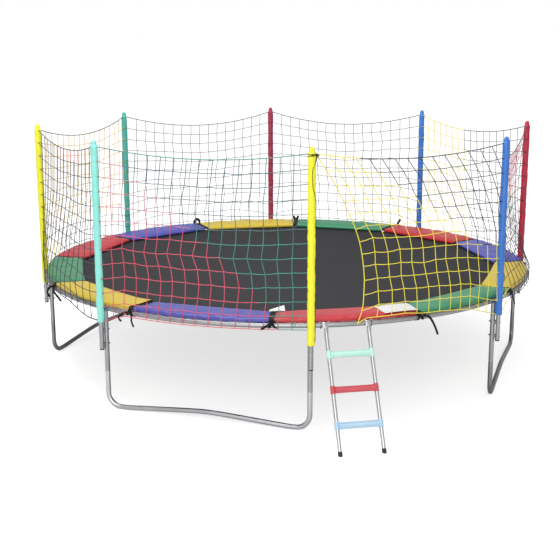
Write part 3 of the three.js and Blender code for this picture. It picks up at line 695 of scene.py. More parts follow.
def coated_cloth(name, deep, light, bound):
    """PVC-coated polyester: a smooth semi-gloss skin with a fine calendered grain and soft creases.
    On the pads, binding tape closes the ends, which the map's first coordinate measures in metres."""
    material, tree, shader = new_material(name, {
        "Roughness": 0.36, "IOR": 1.52, "Coat Weight": 0.08, "Coat Roughness": 0.25})
    place = add_node(tree, "ShaderNodeTexCoord", {}, {})
    cloud = add_node(tree, "ShaderNodeTexNoise", {}, {
        "Vector": place.outputs["Object"], "Scale": 5.0, "Detail": 5.0})
    skin = add_node(tree, "ShaderNodeMixRGB", {}, {
        "Fac": cloud.outputs["Fac"], "Color1": paint(deep), "Color2": paint(light)})
    colour = skin.outputs["Color"]
    # The backing weave, 1 mm in the cloth, drawn at 3 mm
    weave = add_node(tree, "ShaderNodeTexNoise", {}, {
        "Vector": place.outputs["Object"], "Scale": 330.0, "Detail": 2.0})
    creases = add_node(tree, "ShaderNodeTexNoise", {}, {
        "Vector": place.outputs["Object"], "Scale": 16.0, "Detail": 4.0, "Distortion": 0.8})
    if bound:
        parts = add_node(tree, "ShaderNodeSeparateXYZ", {}, {"Vector": place.outputs["UV"]})
        tape = add_node(tree, "ShaderNodeMath", {"operation": "LESS_THAN"}, {
            0: parts.outputs["X"], 1: binding_width})
        covered = add_node(tree, "ShaderNodeMixRGB", {}, {
            "Fac": tape.outputs["Value"], "Color1": colour, "Color2": paint(strap_black)})
        colour = covered.outputs["Color"]
    fine = add_node(tree, "ShaderNodeBump", {}, {
        "Height": weave.outputs["Fac"], "Strength": 0.12, "Distance": 0.0005})
    soft = add_node(tree, "ShaderNodeBump", {}, {
        "Height": creases.outputs["Fac"], "Strength": 0.35, "Distance": 0.004,
        "Normal": fine.outputs["Normal"]})
    set_inputs(tree, shader, {"Base Color": colour, "Normal": soft.outputs["Normal"]})
    return material


pad_points, pad_faces = pad_form()
pad_points, pad_faces = inflated(pad_points, pad_faces)
half_end = np.radians(pad_half)
reach = np.hypot(pad_points[:, 0], pad_points[:, 1])
bearing = np.arctan2(pad_points[:, 1], pad_points[:, 0])
from_end = reach * np.sin(half_end - np.abs(bearing)) - pad_gap / 2
pad_map = np.stack([np.clip(from_end, 0, None), reach - pad_inner], -1)
pad_vinyl = {color: coated_cloth(f"pvc_coated_cloth_{color}", *tones, True)
             for color, tones in vinyl_tones.items()}
# The ladder's hooks, to within half a millimetre: their bends' place and the room they need
ladder_turn, ladder_half = 7.0, 0.158
bend_radius, bend_height, bend_room = 2.125, 0.7999, 0.033
stile_angles = [ladder_turn + math.degrees(side * ladder_half / bend_radius) for side in (-1, 1)]
# The swung-up tubes need the first pad's outer wall to stay inside this radius up to this height
wall_limit, wall_height = 2.1475, 0.852

for i in range(pad_count):
    color = pad_colors[i % 4]
    node = f"pad_{color}_{i // 4 + 1}"
    middle = pad_turn + pad_half + i * pad_angle
    chance = np.random.default_rng(100 + i)
    points = pad_points.copy()
    # Slack in the cover: long soft waves that fade out at the seams and on the seat
    inside = np.clip(from_end / 0.10, 0, 1) * np.clip((reach - pad_inner) / 0.05, 0, 1)
    level = pad_seat + (reach - pad_seat_radius) * pad_slope
    above = np.clip((points[:, 2] - level) / pad_wall, 0, 1)
    for wave in range(5):
        length, lean = chance.uniform(0.09, 0.34), chance.uniform(-0.5, 0.5)
        phase = chance.uniform(0, 6.28)
        swell = np.sin(2 * np.pi * (points[:, 1] + lean * points[:, 0]) / length + phase)
        points[:, 2] += 0.0011 * swell * inside * above
    # Over the ladder's hooks the first pad's cover is pushed up
    if i == 0:
        for stile in stile_angles:
            offset = (bearing - math.radians(stile - middle)) * reach
            near = np.clip(1 - (np.abs(offset) - 0.022) / 0.02, 0, 1)
            # The hook's bend needs this room inside the ring, the swung-up strap and tube outside it
            room = np.sqrt(np.clip(bend_room**2 - np.minimum(reach - bend_radius, 0)**2, 0, None))
            lift = np.clip(bend_height + room - points[:, 2], 0, None) * near * (above < 0.5)
            points[:, 2] += lift
            pressed = np.clip(reach - wall_limit, 0, None) * near * (points[:, 2] < wall_height)
            points[:, 0] -= pressed * np.cos(bearing)
            points[:, 1] -= pressed * np.sin(bearing)
    # The yellow pad on the left has sprung up at one end, and its inner corner laps over the next pad
    if i == 10:
        sprung = np.clip((np.degrees(bearing) - 8.5) / 6.5, 0, 1) ** 2
        inner_share = 1 - 0.75 * np.clip((reach - pad_inner) / pad_depth, 0, 1)
        points[:, 2] += 0.021 * sprung * inner_share
        points[:, 1] += 0.012 * sprung * inner_share
    # Turn the pad to its place
    turn = math.radians(middle - 90)
    placed = np.stack([axis_x + points[:, 0] * math.cos(turn) - points[:, 1] * math.sin(turn),
                       axis_y + points[:, 0] * math.sin(turn) + points[:, 1] * math.cos(turn),
                       points[:, 2]], -1)
    pad = make_piece(f"safety_pad_{color}_{i // 4 + 1}", [(placed, pad_faces)], [pad_vinyl[color]],
                     "frame", [node], crease=60)
    ends_map = pad.data.uv_layers.new(name="ends").data
    loops = np.zeros(len(pad.data.loops), int)
    pad.data.loops.foreach_get("vertex_index", loops)
    ends_map.foreach_set("uv", pad_map[loops].ravel())

# ---- Bare cards ----
# Two stiff PVC sheets, 1 mm thick, lie on the red pad's ends where its seam holds them. Both are
# left blank.
card_thickness = 0.001
card_tones = ("#D6D7D8", "#E4E4E4")


def bent_sheet(corners, bow):
    """A thin sheet between four corners that bows upwards in its middle."""
    corners = np.asarray(corners, float)
    s, t = np.meshgrid(np.linspace(0, 1, 13), np.linspace(0, 1, 9), indexing="ij")
    top = (np.multiply.outer((1 - s) * (1 - t), corners[0]) + np.multiply.outer(s * (1 - t), corners[1])
           + np.multiply.outer(s * t, corners[2]) + np.multiply.outer((1 - s) * t, corners[3]))
    top[..., 2] += bow * np.sin(np.pi * s) + 0.3 * bow * np.sin(2 * np.pi * t)
    points = np.concatenate([top.reshape(-1, 3), top.reshape(-1, 3) - [0, 0, card_thickness]])
    return points, slab_faces(*s.shape).tolist()


# Rigid PVC sheet: a bright white, slightly cloudy, with a satin face
card_white = mottled("rigid_pvc_sheet", {"Roughness": 0.4, "IOR": 1.53}, card_tones, 14.0)[0]
card_middle = spot(18.7, 2.046, 0.8665)
card_heading, card_width, card_depth = math.radians(17.0), 0.272, 0.190
card_across = np.array([math.cos(card_heading), math.sin(card_heading), 0])
card_inwards = np.array([-card_across[1], card_across[0], 0])
card_corners = ((-1, 1, 0.004), (1, 1, 0.006), (1, -1, 0.0), (-1, -1, 0.0))
large = [card_middle + card_across * side * card_width / 2 + card_inwards * depth * card_depth / 2
         + [0, 0, rise] for side, depth, rise in card_corners]
make_piece("bare_card_large", [bent_sheet(large, 0.004)], [card_white], "frame")
small = [spot(*corner) for corner in (
    (-8.6, 1.885, 0.853), (-5.1, 1.876, 0.889), (-4.9, 1.935, 0.862), (-8.3, 1.930, 0.856))]
make_piece("bare_card_small", [bent_sheet(small, 0.002)], [card_white], "frame")

# ---- Enclosure poles ----
# Eight straight galvanised tubes, 35 x 1.5 mm. Two pressed saddles hold each one off its upright,
# and a carriage bolt goes through pole, saddle and upright at each, with a nut on the inner side.
pole_radius = 2.1823
pole_tube = 0.0175
pole_foot, pole_top = 0.483, 2.0727
saddle_heights = (0.520, 0.632)
saddle_outline = rounded_box(0.022, 0.030, 0.004)
cap_tones = ("#131315", "#2C2C30")
# Moulded polyethylene end caps: black and slightly waxy, scuffed a little lighter
black_cap = mottled("moulded_black_polyethylene", {"Roughness": 0.45, "IOR": 1.51}, cap_tones,
                    120.0, 5.0, (0.15, 0.0005))[0]
for i, name in enumerate(pole_names):
    angle = i * side_angle
    out, along = compass(angle)
    foot = spot(angle, pole_radius, 0.0)
    tube = swept([foot + [0, 0, h] for h in np.linspace(pole_foot + 0.002, pole_top, 30)],
                 circle(pole_tube, smooth_sides), across=out)
    parts = [tube]
    cap = swept([foot + [0, 0, pole_foot + rise] for rise in (0, 0.0012, 0.008, 0.009)], round_tube,
                across=out, scale=[0.0165, 0.0181, 0.0181, 0.0176])
    parts.append((*cap, 1))
    for height in saddle_heights:
        reach = np.linspace(ring_radius + tube_radius - 0.004, pole_radius - pole_tube + 0.004, 4)
        saddle = swept([spot(angle, radius, height) for radius in reach], saddle_outline, across=along)
        parts.append((*saddle, 0))
        head = spot(angle, pole_radius + pole_tube - 0.0006, height)
        dome = swept([head + out * rise for rise in (0, 0.001, 0.0035, 0.0052, 0.006)], circle(1.0, 16),
                     scale=[0.0092, 0.0092, 0.0078, 0.0045, 0.001], ahead=[out] * 5)
        parts.append((*dome, 2))
        nut = spot(angle, ring_radius - tube_radius + 0.0006, height)
        parts += [(*part, 2) for part in hex_bolt(nut, -out)]
        thread = swept([nut, nut - out * 0.014], circle(0.004, 12), ahead=[-out] * 2)
        parts.append((*thread, 2))
    make_piece(f"enclosure_pole_{name}", parts, [steel, black_cap, plated], "frame",
               [f"pole_{name}"])

# ---- Padded pole sleeves ----
# Foam tubes in sleeves of the same coated cloth, in six colours, with a welded seam down the inner
# side. The net's twine presses into them, and a moulded cap closes the top.
sleeve_radius = 0.0278
sleeve_foot, sleeve_neck, sleeve_shoulder = 0.669, 2.055, 2.035
raised_hems = {"front_left": 0.034, "front_right": 0.026}
net_rows = 12
net_foot, net_head = 0.681, 2.0347
sleeve_tones = {
    "yellow": ("#F2EE1A", "#FAF63A"), "blue": ("#2C6AC4", "#4484D8"), "red": ("#B01C38", "#C62844"),
    "crimson": ("#9E1F44", "#B42C52"), "teal": ("#3DA696", "#52BAAA"),
    "turquoise": ("#82E5D6", "#A0F0E4")}
sleeve_colors = ["yellow", "blue", "red", "blue", "crimson", "teal", "yellow", "turquoise"]
sleeve_vinyl = {color: coated_cloth(f"pvc_sleeve_cloth_{color}", *tones, False)
                for color, tones in sleeve_tones.items()}
# Injection-moulded polyethylene caps in the sleeve's colour, with a soft waxy gloss
cap_plastic = {color: mottled(f"moulded_cap_{color}", {
    "Roughness": 0.4, "IOR": 1.51, "Subsurface Weight": 0.05}, tones, 40.0)[0]
    for color, tones in sleeve_tones.items()}
row_heights = net_foot + (net_head - net_foot) * np.arange(net_rows + 1) / net_rows
for i, name in enumerate(pole_names):
    angle = i * side_angle
    out, along = compass(angle)
    color = sleeve_colors[i]
    chance = np.random.default_rng(40 + i)
    sides = 28
    hem = sleeve_foot + raised_hems.get(name, 0.0)
    heights = np.concatenate([[hem + 0.004], np.linspace(hem, hem + 0.003, 3),
                              np.linspace(hem + 0.008, sleeve_shoulder, 190),
                              np.linspace(sleeve_shoulder + 0.003, sleeve_neck, 8)])
    turn = 2 * np.pi * np.arange(sides) / sides
    h, t = np.meshgrid(heights, turn, indexing="ij")
    radius = np.full_like(h, sleeve_radius)
    for row in row_heights:
        radius -= 0.0009 * np.exp(-((h - row) / 0.007) ** 2)
    for wave in range(7):
        length, lobes = chance.uniform(0.05, 0.35), chance.integers(1, 4)
        phase = chance.uniform(0, 6.28)
        radius += 0.00055 * np.sin(2 * np.pi * h / length + lobes * t + phase)
    radius += 0.0006 * np.exp(-((t - np.pi) / 0.16) ** 2)
    closing = np.clip((h - sleeve_shoulder) / (sleeve_neck - sleeve_shoulder), 0, 1)
    radius = radius * (1 - closing) + (0.0200 + 0.0007 * np.cos(9 * t)) * closing
    radius[0], radius[1] = pole_tube + 0.0004, sleeve_radius - 0.003
    radius[2], radius[3] = sleeve_radius - 0.001, sleeve_radius - 0.0002
    foot = spot(angle, pole_radius, 0.0)
    points = (foot + radius[..., None] * (np.cos(t)[..., None] * out + np.sin(t)[..., None] * along)
              + h[..., None] * [0, 0, 1]).reshape(-1, 3)
    faces = [face[:1] + face[:0:-1] for face in ring_faces(len(heights), sides)]
    sleeve = make_piece(f"padded_sleeve_{name}", [(points, faces)], [sleeve_vinyl[color]], "frame",
                        [f"pole_cover_{name}"], crease=50)
    profile = [(0.0185, 2.050), (0.0195, 2.0525), (0.0195, 2.0665), (0.0188, 2.0700), (0.0168, 2.0755),
               (0.0135, 2.0805), (0.0090, 2.0838), (0.0040, 2.0849)]
    cap = swept([foot + [0, 0, height] for _, height in profile], circle(1.0, 24), across=out,
                scale=[radius for radius, _ in profile], ahead=[[0, 0, 1]] * len(profile))
    make_piece(f"pole_cap_{name}", [cap], [cap_plastic[color]], "frame")

# ---- Safety net ----
# Knotted polyethylene netting with a mesh of about 105 mm, in twine of several colours. Each row
# loops round the sleeves, and a rope runs along the top and bottom. Right of the front pole a free
# edge leaves the way in open.
net_end = pole_radius * math.sin(math.radians(side_angle / 2)) - 0.0285
chord_middle = pole_radius * math.cos(math.radians(side_angle / 2))
twine, near_twine, rope = 0.0026, 0.0029, 0.0036
twine_tones = {"red": ("#C8394E", "#E2647A"), "green": ("#27796B", "#4AA08F"),
               "yellow": ("#E6D42A", "#F8EC4C"), "dark": ("#24242C", "#42424C"),
               "orange": ("#D8A838", "#EDD060"), "slate": ("#33555B", "#5E8088"),
               "rose": ("#B26476", "#D08A9A")}
column_counts = [15, 16, 16, 16, 16, 16, 16, 16]
rope_sags = [0.070, 0.160, 0.100, 0.112, 0.112, 0.105, 0.088, 0.066]
# The free edge's places along the panel and up, from the rim to the neck
free_line = curve_through([
    (-0.507, 0.806), (-0.482, 0.87), (-0.468, 0.94), (-0.456, 1.03), (-0.444, 1.13), (-0.446, 1.24),
    (-0.456, 1.34), (-0.478, 1.44), (-0.519, 1.55), (-0.589, 1.70), (-0.676, 1.85),
    (-0.8064, 2.0347)], 120)
low_edges = {
    0: ([-0.51, -0.478, -0.455, -0.385, -0.28, -0.12, 0.02, 0.2, 0.48, 0.8064],
        [0.806, 0.822, 0.8485, 0.850, 0.852, 0.857, 0.840, 0.834, 0.806, 0.706]),
    1: ([-0.8064, -0.70, -0.58, 0.55, 0.70, 0.8064], [0.700, 0.758, 0.790, 0.790, 0.760, 0.706]),
    7: ([-0.8064, -0.70, -0.61, 0.8064], [0.712, 0.752, 0.783, 0.783]),
    6: ([-0.8064, -0.62, -0.50, 0.10, 0.386, 0.494, 0.603, 0.68, 0.8064],
        [0.681, 0.757, 0.785, 0.803, 0.779, 0.748, 0.718, 0.706, 0.710])}


def twisted_twine(name, deep, light):
    """Twisted polyethylene twine: dull and slightly waxy, with the light catching its strands.
    The strands are 1.5 mm long in the twist, drawn at 4 mm to show."""
    material, tree, shader, place, _ = mottled(name, {
        "Roughness": 0.55, "IOR": 1.5, "Sheen Weight": 0.1}, (deep, light), 9.0, 3.0)
    strands = add_node(tree, "ShaderNodeTexWave", {"bands_direction": "DIAGONAL"}, {
        "Vector": place, "Scale": 78.0, "Distortion": 1.2})
    relief = add_node(tree, "ShaderNodeBump", {}, {
        "Height": strands.outputs["Fac"], "Strength": 0.4, "Distance": 0.0006})
    set_inputs(tree, shader, {"Normal": relief.outputs["Normal"]})
    return material


twines = [twisted_twine(f"twisted_polyethylene_{name}", *tones) for name, tones in twine_tones.items()]
RED, GREEN, YELLOW, DARK, ORANGE, SLATE, ROSE = range(7)
top_ropes = {5: DARK, 6: DARK, 7: GREEN}  # the left panels' top ropes are of one colour each


def twine_color(panel, u, z):
    """Which twine a place of a panel is knotted from."""
    if panel == 7:
        border = np.interp(z, [0.78, 0.939, 1.056, 1.162, 1.257, 1.361, 2.074],
                           [0.62, 0.517, 0.409, 0.308, 0.177, 0.061, -0.802])
        high = (z > 1.45) & (z < 1.97)
        return np.where(u < border, np.where(high, ROSE, RED), np.where(high, SLATE, GREEN))
    if panel == 0:
        border = np.interp(u, [-0.806, -0.469, 0.657, 0.806], [2.10, 1.997, 1.271, 1.262])
        return np.where(z > border, DARK, YELLOW)
    if panel == 1:
        below_rope = z < net_head - rope_sags[1] * (1 - (u / net_end) ** 2) - 0.03
        high = (z > 1.5) & (np.abs(u) < 0.7) & below_rope
        return np.where(high, ROSE, np.where((z > 0.93) | (u > -0.62), DARK, YELLOW))
    if panel == 2:
        return np.where(u > 0.1, YELLOW, DARK)
    if panel == 5:
        low_corner = (u > 0.35) & (z < 1.02)
        return np.where(low_corner, YELLOW, np.where(z < 1.1, DARK, ORANGE))
    if panel == 6:
        return np.where((z > 1.9) & (u > -0.2), RED, DARK)
    return np.full(np.shape(u), DARK)


def net_place(panel, u, z):
    """A place of a panel: low down it keeps close to the ring, higher up it draws straight."""
    out, along = compass((panel + 0.5) * side_angle)
    share = np.clip((net_head - z) / (net_head - 0.88), 0, 1)
    curve = np.sqrt(pole_radius**2 - u**2) - chord_middle
    low = np.clip((0.97 - z) / 0.10, 0, 1)
    low = low * low * (3 - 2 * low)
    away = share**(5 if panel == 1 else 2) * curve - low * 0.0205 * (1 - np.abs(u / net_end) ** 6)
    if panel == 1:
        away = away - 0.075 * np.sin(np.pi * share) * (1 - np.abs(u / net_end) ** 6)
    axis = np.array([axis_x, axis_y, 0])
    return (axis + np.multiply.outer(chord_middle + away, out) + np.multiply.outer(u, along)
            + np.multiply.outer(z, [0, 0, 1]))


def free_edge(z):
    """The rope that bounds the way in: it bellies out from the front pole's neck to the rim."""
    return np.interp(z, free_line[:, 1], free_line[:, 0])


def low_edge(panel, u):
    """The height of a panel's lower rope at places along it."""
    if panel in low_edges:
        return np.interp(u, *low_edges[panel])
    return 0.681 + 0.097 * (1 - np.abs(u / net_end) ** 4)


def twine_part(panel, u, z, thickness, sides=5, color=None):
    """A twine or rope through places of a panel, each stretch in its own colour or all in one."""
    points, faces = swept(net_place(panel, u, z), circle(thickness, sides))
    stretch = twine_color(panel, (u[1:] + u[:-1]) / 2, (z[1:] + z[:-1]) / 2)
    if color is not None:
        stretch = np.full(len(stretch), color)
    numbers = np.concatenate([np.repeat(stretch, sides), stretch[:1], stretch[-1:]])
    return points, faces, numbers.tolist()


knot_rings = [(-0.0042, 0.0012), (-0.0024, 0.0036), (0.0, 0.0043), (0.0024, 0.0036), (0.0042, 0.0012)]
for panel in range(8):
    chance = np.random.default_rng(7 + panel)
    columns = column_counts[panel]
    up = np.arange(net_rows + 1) / net_rows
    over = np.arange(columns + 1) / columns
    rough = 0.80 + up * (net_head - 0.80)
    u = np.tile(net_end * (2 * over - 1), (net_rows + 1, 1))
    if panel == 0:
        # The entrance's columns run beside its free edge, and the last ones end at the right pole
        upper = free_edge(np.maximum(rough, 1.13))
        u = u + np.outer(upper + net_end, 1 - 0.2 * over)
        u = u + np.outer(free_edge(rough) - upper, np.exp(-np.arange(columns + 1) / 0.8))
    reach = np.minimum(u, net_end)
    bottom = low_edge(panel, reach)
    top = net_head - rope_sags[panel] * (1 - (reach / net_end) ** 2)
    z = bottom + up[:, None] * (top - bottom)
    # Slack: the knots wander a little, and whole columns lean to and fro
    held = 1 - np.abs(reach / net_end) ** 4
    inner = np.sin(np.pi * up)[:, None] ** 0.5 * held
    u = u + inner * (0.011 * np.sin(2 * np.pi * z / 0.43 + 1.7 * panel)
                     + chance.normal(0, 0.0045, u.shape))
    z = z + inner * (chance.normal(0, 0.0040, z.shape) - 0.006 * np.sin(3 * np.pi * over + panel)[None])
    if panel == 7:
        fall = np.clip((1.30 - z) / 0.17, 0, 1)
        u = u + held * 0.050 * (fall * fall * (3 - 2 * fall) - 0.55) * inner
    if panel == 0:
        near_free = np.exp(-(u - u[:, :1]) / 0.035)
        level = up[:, None]
        z = z - near_free * (0.004 + 0.016 * (1 - level)) * (level > 0.01) * (level < 0.95)
        u[:, 0] = free_edge(z[:, 0])
    parts = []
    thick = near_twine if panel in (0, 6, 7) else twine
    within = u < net_end - 0.02
    ends = low_edge(panel, net_end) + up * (net_head - low_edge(panel, net_end))
    for c in range(1, columns):
        first = int(np.argmax(within[:, c]))
        line_u, line_z = u[first:, c], z[first:, c]
        if first:
            past = (net_end - u[first, c]) / (u[first - 1, c] - u[first, c])
            line_u = np.append(net_end, line_u)
            line_z = np.append(z[first, c] + past * (z[first - 1, c] - z[first, c]), line_z)
        parts.append(twine_part(panel, line_u, line_z, thick))
    for r in range(net_rows):
        # A row sags a little between its knots
        row_u = np.append(u[r, within[r]], net_end)
        row_z = np.append(z[r, within[r]], ends[r])
        meshes = len(row_u) - 1
        twice = np.linspace(0, meshes, (4 if r == 0 else 2) * meshes + 1)
        row_u, row_z = (np.interp(twice, np.arange(meshes + 1), line) for line in (row_u, row_z))
        if r == 0:
            row_z = low_edge(panel, row_u)
            parts.append(twine_part(panel, row_u, row_z, rope * (1.2 if panel == 6 else 0.85), 8))
            continue
        row_z[1::2] -= 0.0025
        parts.append(twine_part(panel, row_u, row_z, thick))
        for c in range(1, meshes):
            middle = net_place(panel, u[r, c], z[r, c])
            number = int(twine_color(panel, u[r, c], z[r, c]))
            points, faces = swept([middle + [0, 0, h] for h, _ in knot_rings], circle(1.0, 6),
                                  scale=[size for _, size in knot_rings])
            parts.append((points, faces, number))
    # The top rope, and the entrance's free edge
    rope_u = np.linspace(-net_end, net_end, 4 * columns + 1)
    rope_z = net_head - rope_sags[panel] * (1 - (rope_u / net_end) ** 2)
    parts.append(twine_part(panel, rope_u, rope_z, rope, 8, top_ropes.get(panel)))
    if panel == 0:
        edge_z = np.linspace(0.806, net_head, 50)
        parts.append(twine_part(panel, free_edge(edge_z), edge_z, rope, 8))
    # Each row ends in a hitch round the inner side of the sleeve
    for pole, tip in ((panel, z[:, 0]), (panel + 1, ends)):
        if panel == 0 and pole == 0:
            continue
        pole_angle = pole * side_angle
        pole_out, pole_along = compass(pole_angle)
        for r in range(1, net_rows):
            middle = spot(pole_angle, pole_radius, tip[r])
            turn = np.linspace(0.45 * np.pi, 1.55 * np.pi, 14)
            grip = sleeve_radius + 0.0006
            loop = hoop(middle, turn, grip * pole_out, grip * pole_along)
            loop[:, 2] += 0.006 * np.cos(turn + panel + r)
            edge = net_end if pole > panel else u[r, 0]
            number = int(twine_color(panel, np.array(edge), np.array(tip[r])))
            parts.append((*swept(loop, circle(0.0015, 5)), number))
    # Short strings tie the lower rope up to the ring where it hangs below it
    for c in range(1, int(np.sum(within[0]))):
        drop = ring_height - tube_radius - z[0, c]
        if drop > 0.006:
            place = net_place(panel, u[0, c], z[0, c])
            bearing = math.degrees(math.atan2(place[1] - axis_y, place[0] - axis_x)) + 90
            string = curve_through([
                place, spot(bearing, 2.152, 0.783), spot(bearing, 2.158, 0.805),
                spot(bearing, 2.140, 0.826), spot(bearing, 2.125, 0.824)], 12)
            number = int(twine_color(panel, np.array(u[0, c]), np.array(z[0, c])))
            parts.append((*swept(string, circle(0.0014, 5)), number))
    name = "entrance" if panel == 0 else f"{pole_names[panel]}_to_{pole_names[(panel + 1) % 8]}"
    make_piece(f"knotted_net_{name}", parts, twines, "frame", [f"net_{name}"])

# ---- Lacing on the front sleeve ----
# A black polyester cord laces the net's edge to the front pole: knotted round the neck, once
# across the front, then straight down the right side to the sleeve's end.
cord_radius = 0.0021
front_out, front_along = compass(0)
camera_side = 4.6  # seen from the ring's axis, the camera is this many degrees left of the pole
# Where the cord crosses the sleeve: degrees to the right of the camera's side, and height
lacing = [(92, 2.020), (70, 1.985), (20, 1.945), (8, 1.915), (10, 1.86), (14, 1.81), (40, 1.76),
          (80, 1.71), (94, 1.64), (88, 1.50), (95, 1.35), (86, 1.20), (92, 1.05), (70, 0.97), (84, 0.90),
          (92, 0.80), (88, 0.70)]
route = []
for swing, height in lacing:
    turn, reach = math.radians(swing - camera_side), sleeve_radius + 0.0022
    route.append(spot(0, pole_radius, height) + front_out * math.cos(turn) * reach
                 + front_along * math.sin(turn) * reach)
parts = [swept(curve_through(route, 120), circle(cord_radius, 6))]
for height, tilt in ((2.022, 0.10), (2.028, -0.16), (2.034, 0.06)):
    turn = np.linspace(0, 2 * np.pi, 24, endpoint=False)
    reach = sleeve_radius + 0.0024
    loop = hoop(spot(0, pole_radius, height), turn, reach * front_out,
                reach * front_along + [0, 0, tilt * 0.03])
    parts.append(swept(loop, circle(cord_radius, 6), closed=True))
knot = spot(0, pole_radius, 2.026) + front_out * 0.008 + front_along * (sleeve_radius + 0.006)
for tilt in (0.0, 1.1, 2.2):
    turn = np.linspace(0, 2 * np.pi, 14, endpoint=False)
    flat = np.array([math.cos(tilt), math.sin(tilt), 0])
    bow = hoop(knot, turn, 0.0062 * flat, [0, 0, 0.0075])
    parts.append(swept(bow, circle(cord_radius * 1.1, 6), closed=True))
for side, down in ((0.012, 0.020), (0.016, 0.004)):
    end = curve_through([knot, knot + front_along * side * 0.6 + [0, 0, 0.004],
                         knot + front_along * side - [0, 0, down]], 8)
    parts.append(swept(end, circle(cord_radius, 6)))
make_piece("sleeve_lacing_front", parts, [webbing], "frame")

# ---- Ladder ----
# Two zinc-coated tubes lean at thirty degrees. A flat steel hook riveted into each top hangs over
# the ring, and three moulded steps clasp the tubes.
ladder_reach = 2.124574
hook_height = 0.799865
hook_radius = 0.0283414
lean = math.radians(30)
stile_radius = 0.014
step_heights = {"bottom": 0.180, "middle": 0.400, "top": 0.620}
step_tones = {"bottom": ("#A8CAE2", "#BAD8EC"), "middle": ("#C44450", "#D6626C"),
              "top": ("#B0E8D2", "#C8F2E4")}
step_slots = {"bottom": "step_blue", "middle": "step_red", "top": "step_mint"}
ladder_out, ladder_along = compass(ladder_turn)
ladder_middle = spot(ladder_turn, ladder_reach, hook_height)
down = np.array([math.sin(lean), 0, -math.cos(lean)])
stile_top = np.array([hook_radius * math.cos(lean), 0, hook_radius * math.sin(lean)])
boot_sole = 0.013
stile_length = (hook_height + hook_radius * math.sin(lean) - boot_sole) / math.cos(lean)
stile_end = stile_length - stile_radius * math.tan(lean)


def on_ladder(points):
    """Ladder places, outwards, to the right and up from the hooks' axis, as places in the scene."""
    points = np.asarray(points, float)
    outwards, aside, up = points[..., :1], points[..., 1:2], points[..., 2:]
    return ladder_middle + outwards * ladder_out + aside * ladder_along + up * [0, 0, 1]


def ladder_bar(path, outline, finish=0, **how):
    """A bar through ladder places, as a part in the scene."""
    points, faces = swept(path, outline, **how)
    return on_ladder(points), faces, finish


def bright_tube():
    """Bright zinc-coated ladder tube: pale, nearly white metal with a soft shine."""
    material, tree, shader, _, cloud = mottled(
        "bright_zinc_ladder_tube", {"Metallic": 1.0}, ("#C6C8CB", "#DCDDE0"), 25.0)
    dull = add_node(tree, "ShaderNodeMapRange", {}, {"Value": cloud, "To Min": 0.26, "To Max": 0.4})
    set_inputs(tree, shader, {"Roughness": dull.outputs["Result"]})
    return material


def moulded_step(name, deep, light):
    """Injection-moulded polypropylene: an even colour with a fine spark-eroded grain and soft gloss."""
    material, tree, shader, place, _ = mottled(name, {
        "Roughness": 0.34, "IOR": 1.49, "Subsurface Weight": 0.04}, (deep, light), 12.0, 3.0)
    grain = add_node(tree, "ShaderNodeTexNoise", {}, {"Vector": place, "Scale": 900.0, "Detail": 2.0})
    relief = add_node(tree, "ShaderNodeBump", {}, {
        "Height": grain.outputs["Fac"], "Strength": 0.1, "Distance": 0.0003})
    set_inputs(tree, shader, {"Normal": relief.outputs["Normal"]})
    return material


pale_tube = bright_tube()
# Moulded rubber: matte black with a dusty bloom
rubber = mottled("moulded_boot_rubber", {"Roughness": 0.75, "IOR": 1.52}, ("#151517", "#37373B"),
                 80.0, 5.0, (0.2, 0.0006))[0]
to_right = np.array([0, 1.0, 0])
hook_outline = rounded_box(0.036, 0.005, 0.0018, 2)
for name, side in (("left", -1), ("right", 1)):
    shift = np.array([0, side * ladder_half, 0])
    bend = np.radians(np.linspace(190, 30, 28))
    strap = [np.array([hook_radius * math.cos(a), 0, hook_radius * math.sin(a)]) for a in bend]
    strap += [strap[-1] + down * step for step in (0.02, 0.045, 0.062)]
    parts = [ladder_bar(np.array(strap) + shift, hook_outline, across=to_right)]
    steps = [0.029, 0.0295, 0.031] + np.linspace(0.05, stile_end - 0.002, 24).tolist() + [stile_end]
    path = np.array([stile_top + down * step for step in steps]) + shift
    scale = [stile_radius - 0.0015, stile_radius - 0.0004] + [stile_radius] * (len(steps) - 2)
    parts.append(ladder_bar(path, round_tube, across=to_right, scale=scale))
    # Two rivets through the tube hold the hook's strap
    for step in (0.034, 0.054):
        face = stile_top + down * step + shift
        normal = np.array([math.cos(lean), 0, math.sin(lean)])
        head = [face + normal * (stile_radius - 0.0008 + rise) for rise in (0, 0.0012, 0.0022, 0.0027)]
        parts.append(ladder_bar(head, circle(1.0, 12), 1, ahead=[normal] * 4,
                                scale=[0.0048, 0.0046, 0.0034, 0.0012]))
    make_piece(f"ladder_tube_{name}", parts, [pale_tube, plated], "ladder",
               [f"ladder_stile_{name}"])
    # Boot: its lower end is cut level with the floor
    steps = [stile_end + past for past in (-0.006, -0.0055, -0.004, 0.001, 0.03)]
    widths = [0.0146, 0.0154, 0.0158, 0.0160, 0.0162]
    path = np.array([stile_top + down * step for step in steps]) + shift
    points, faces, _ = ladder_bar(path, round_tube, across=to_right, scale=widths)
    sole = points[-smooth_sides:]
    down_row = ladder_out * down[0] + np.array([0, 0, down[2]])
    sole -= np.outer(sole[:, 2] / down_row[2], down_row)
    make_piece(f"ladder_rubber_boot_{name}", [(points, faces)], [rubber], "ladder",
               [f"ladder_boot_{name}"])

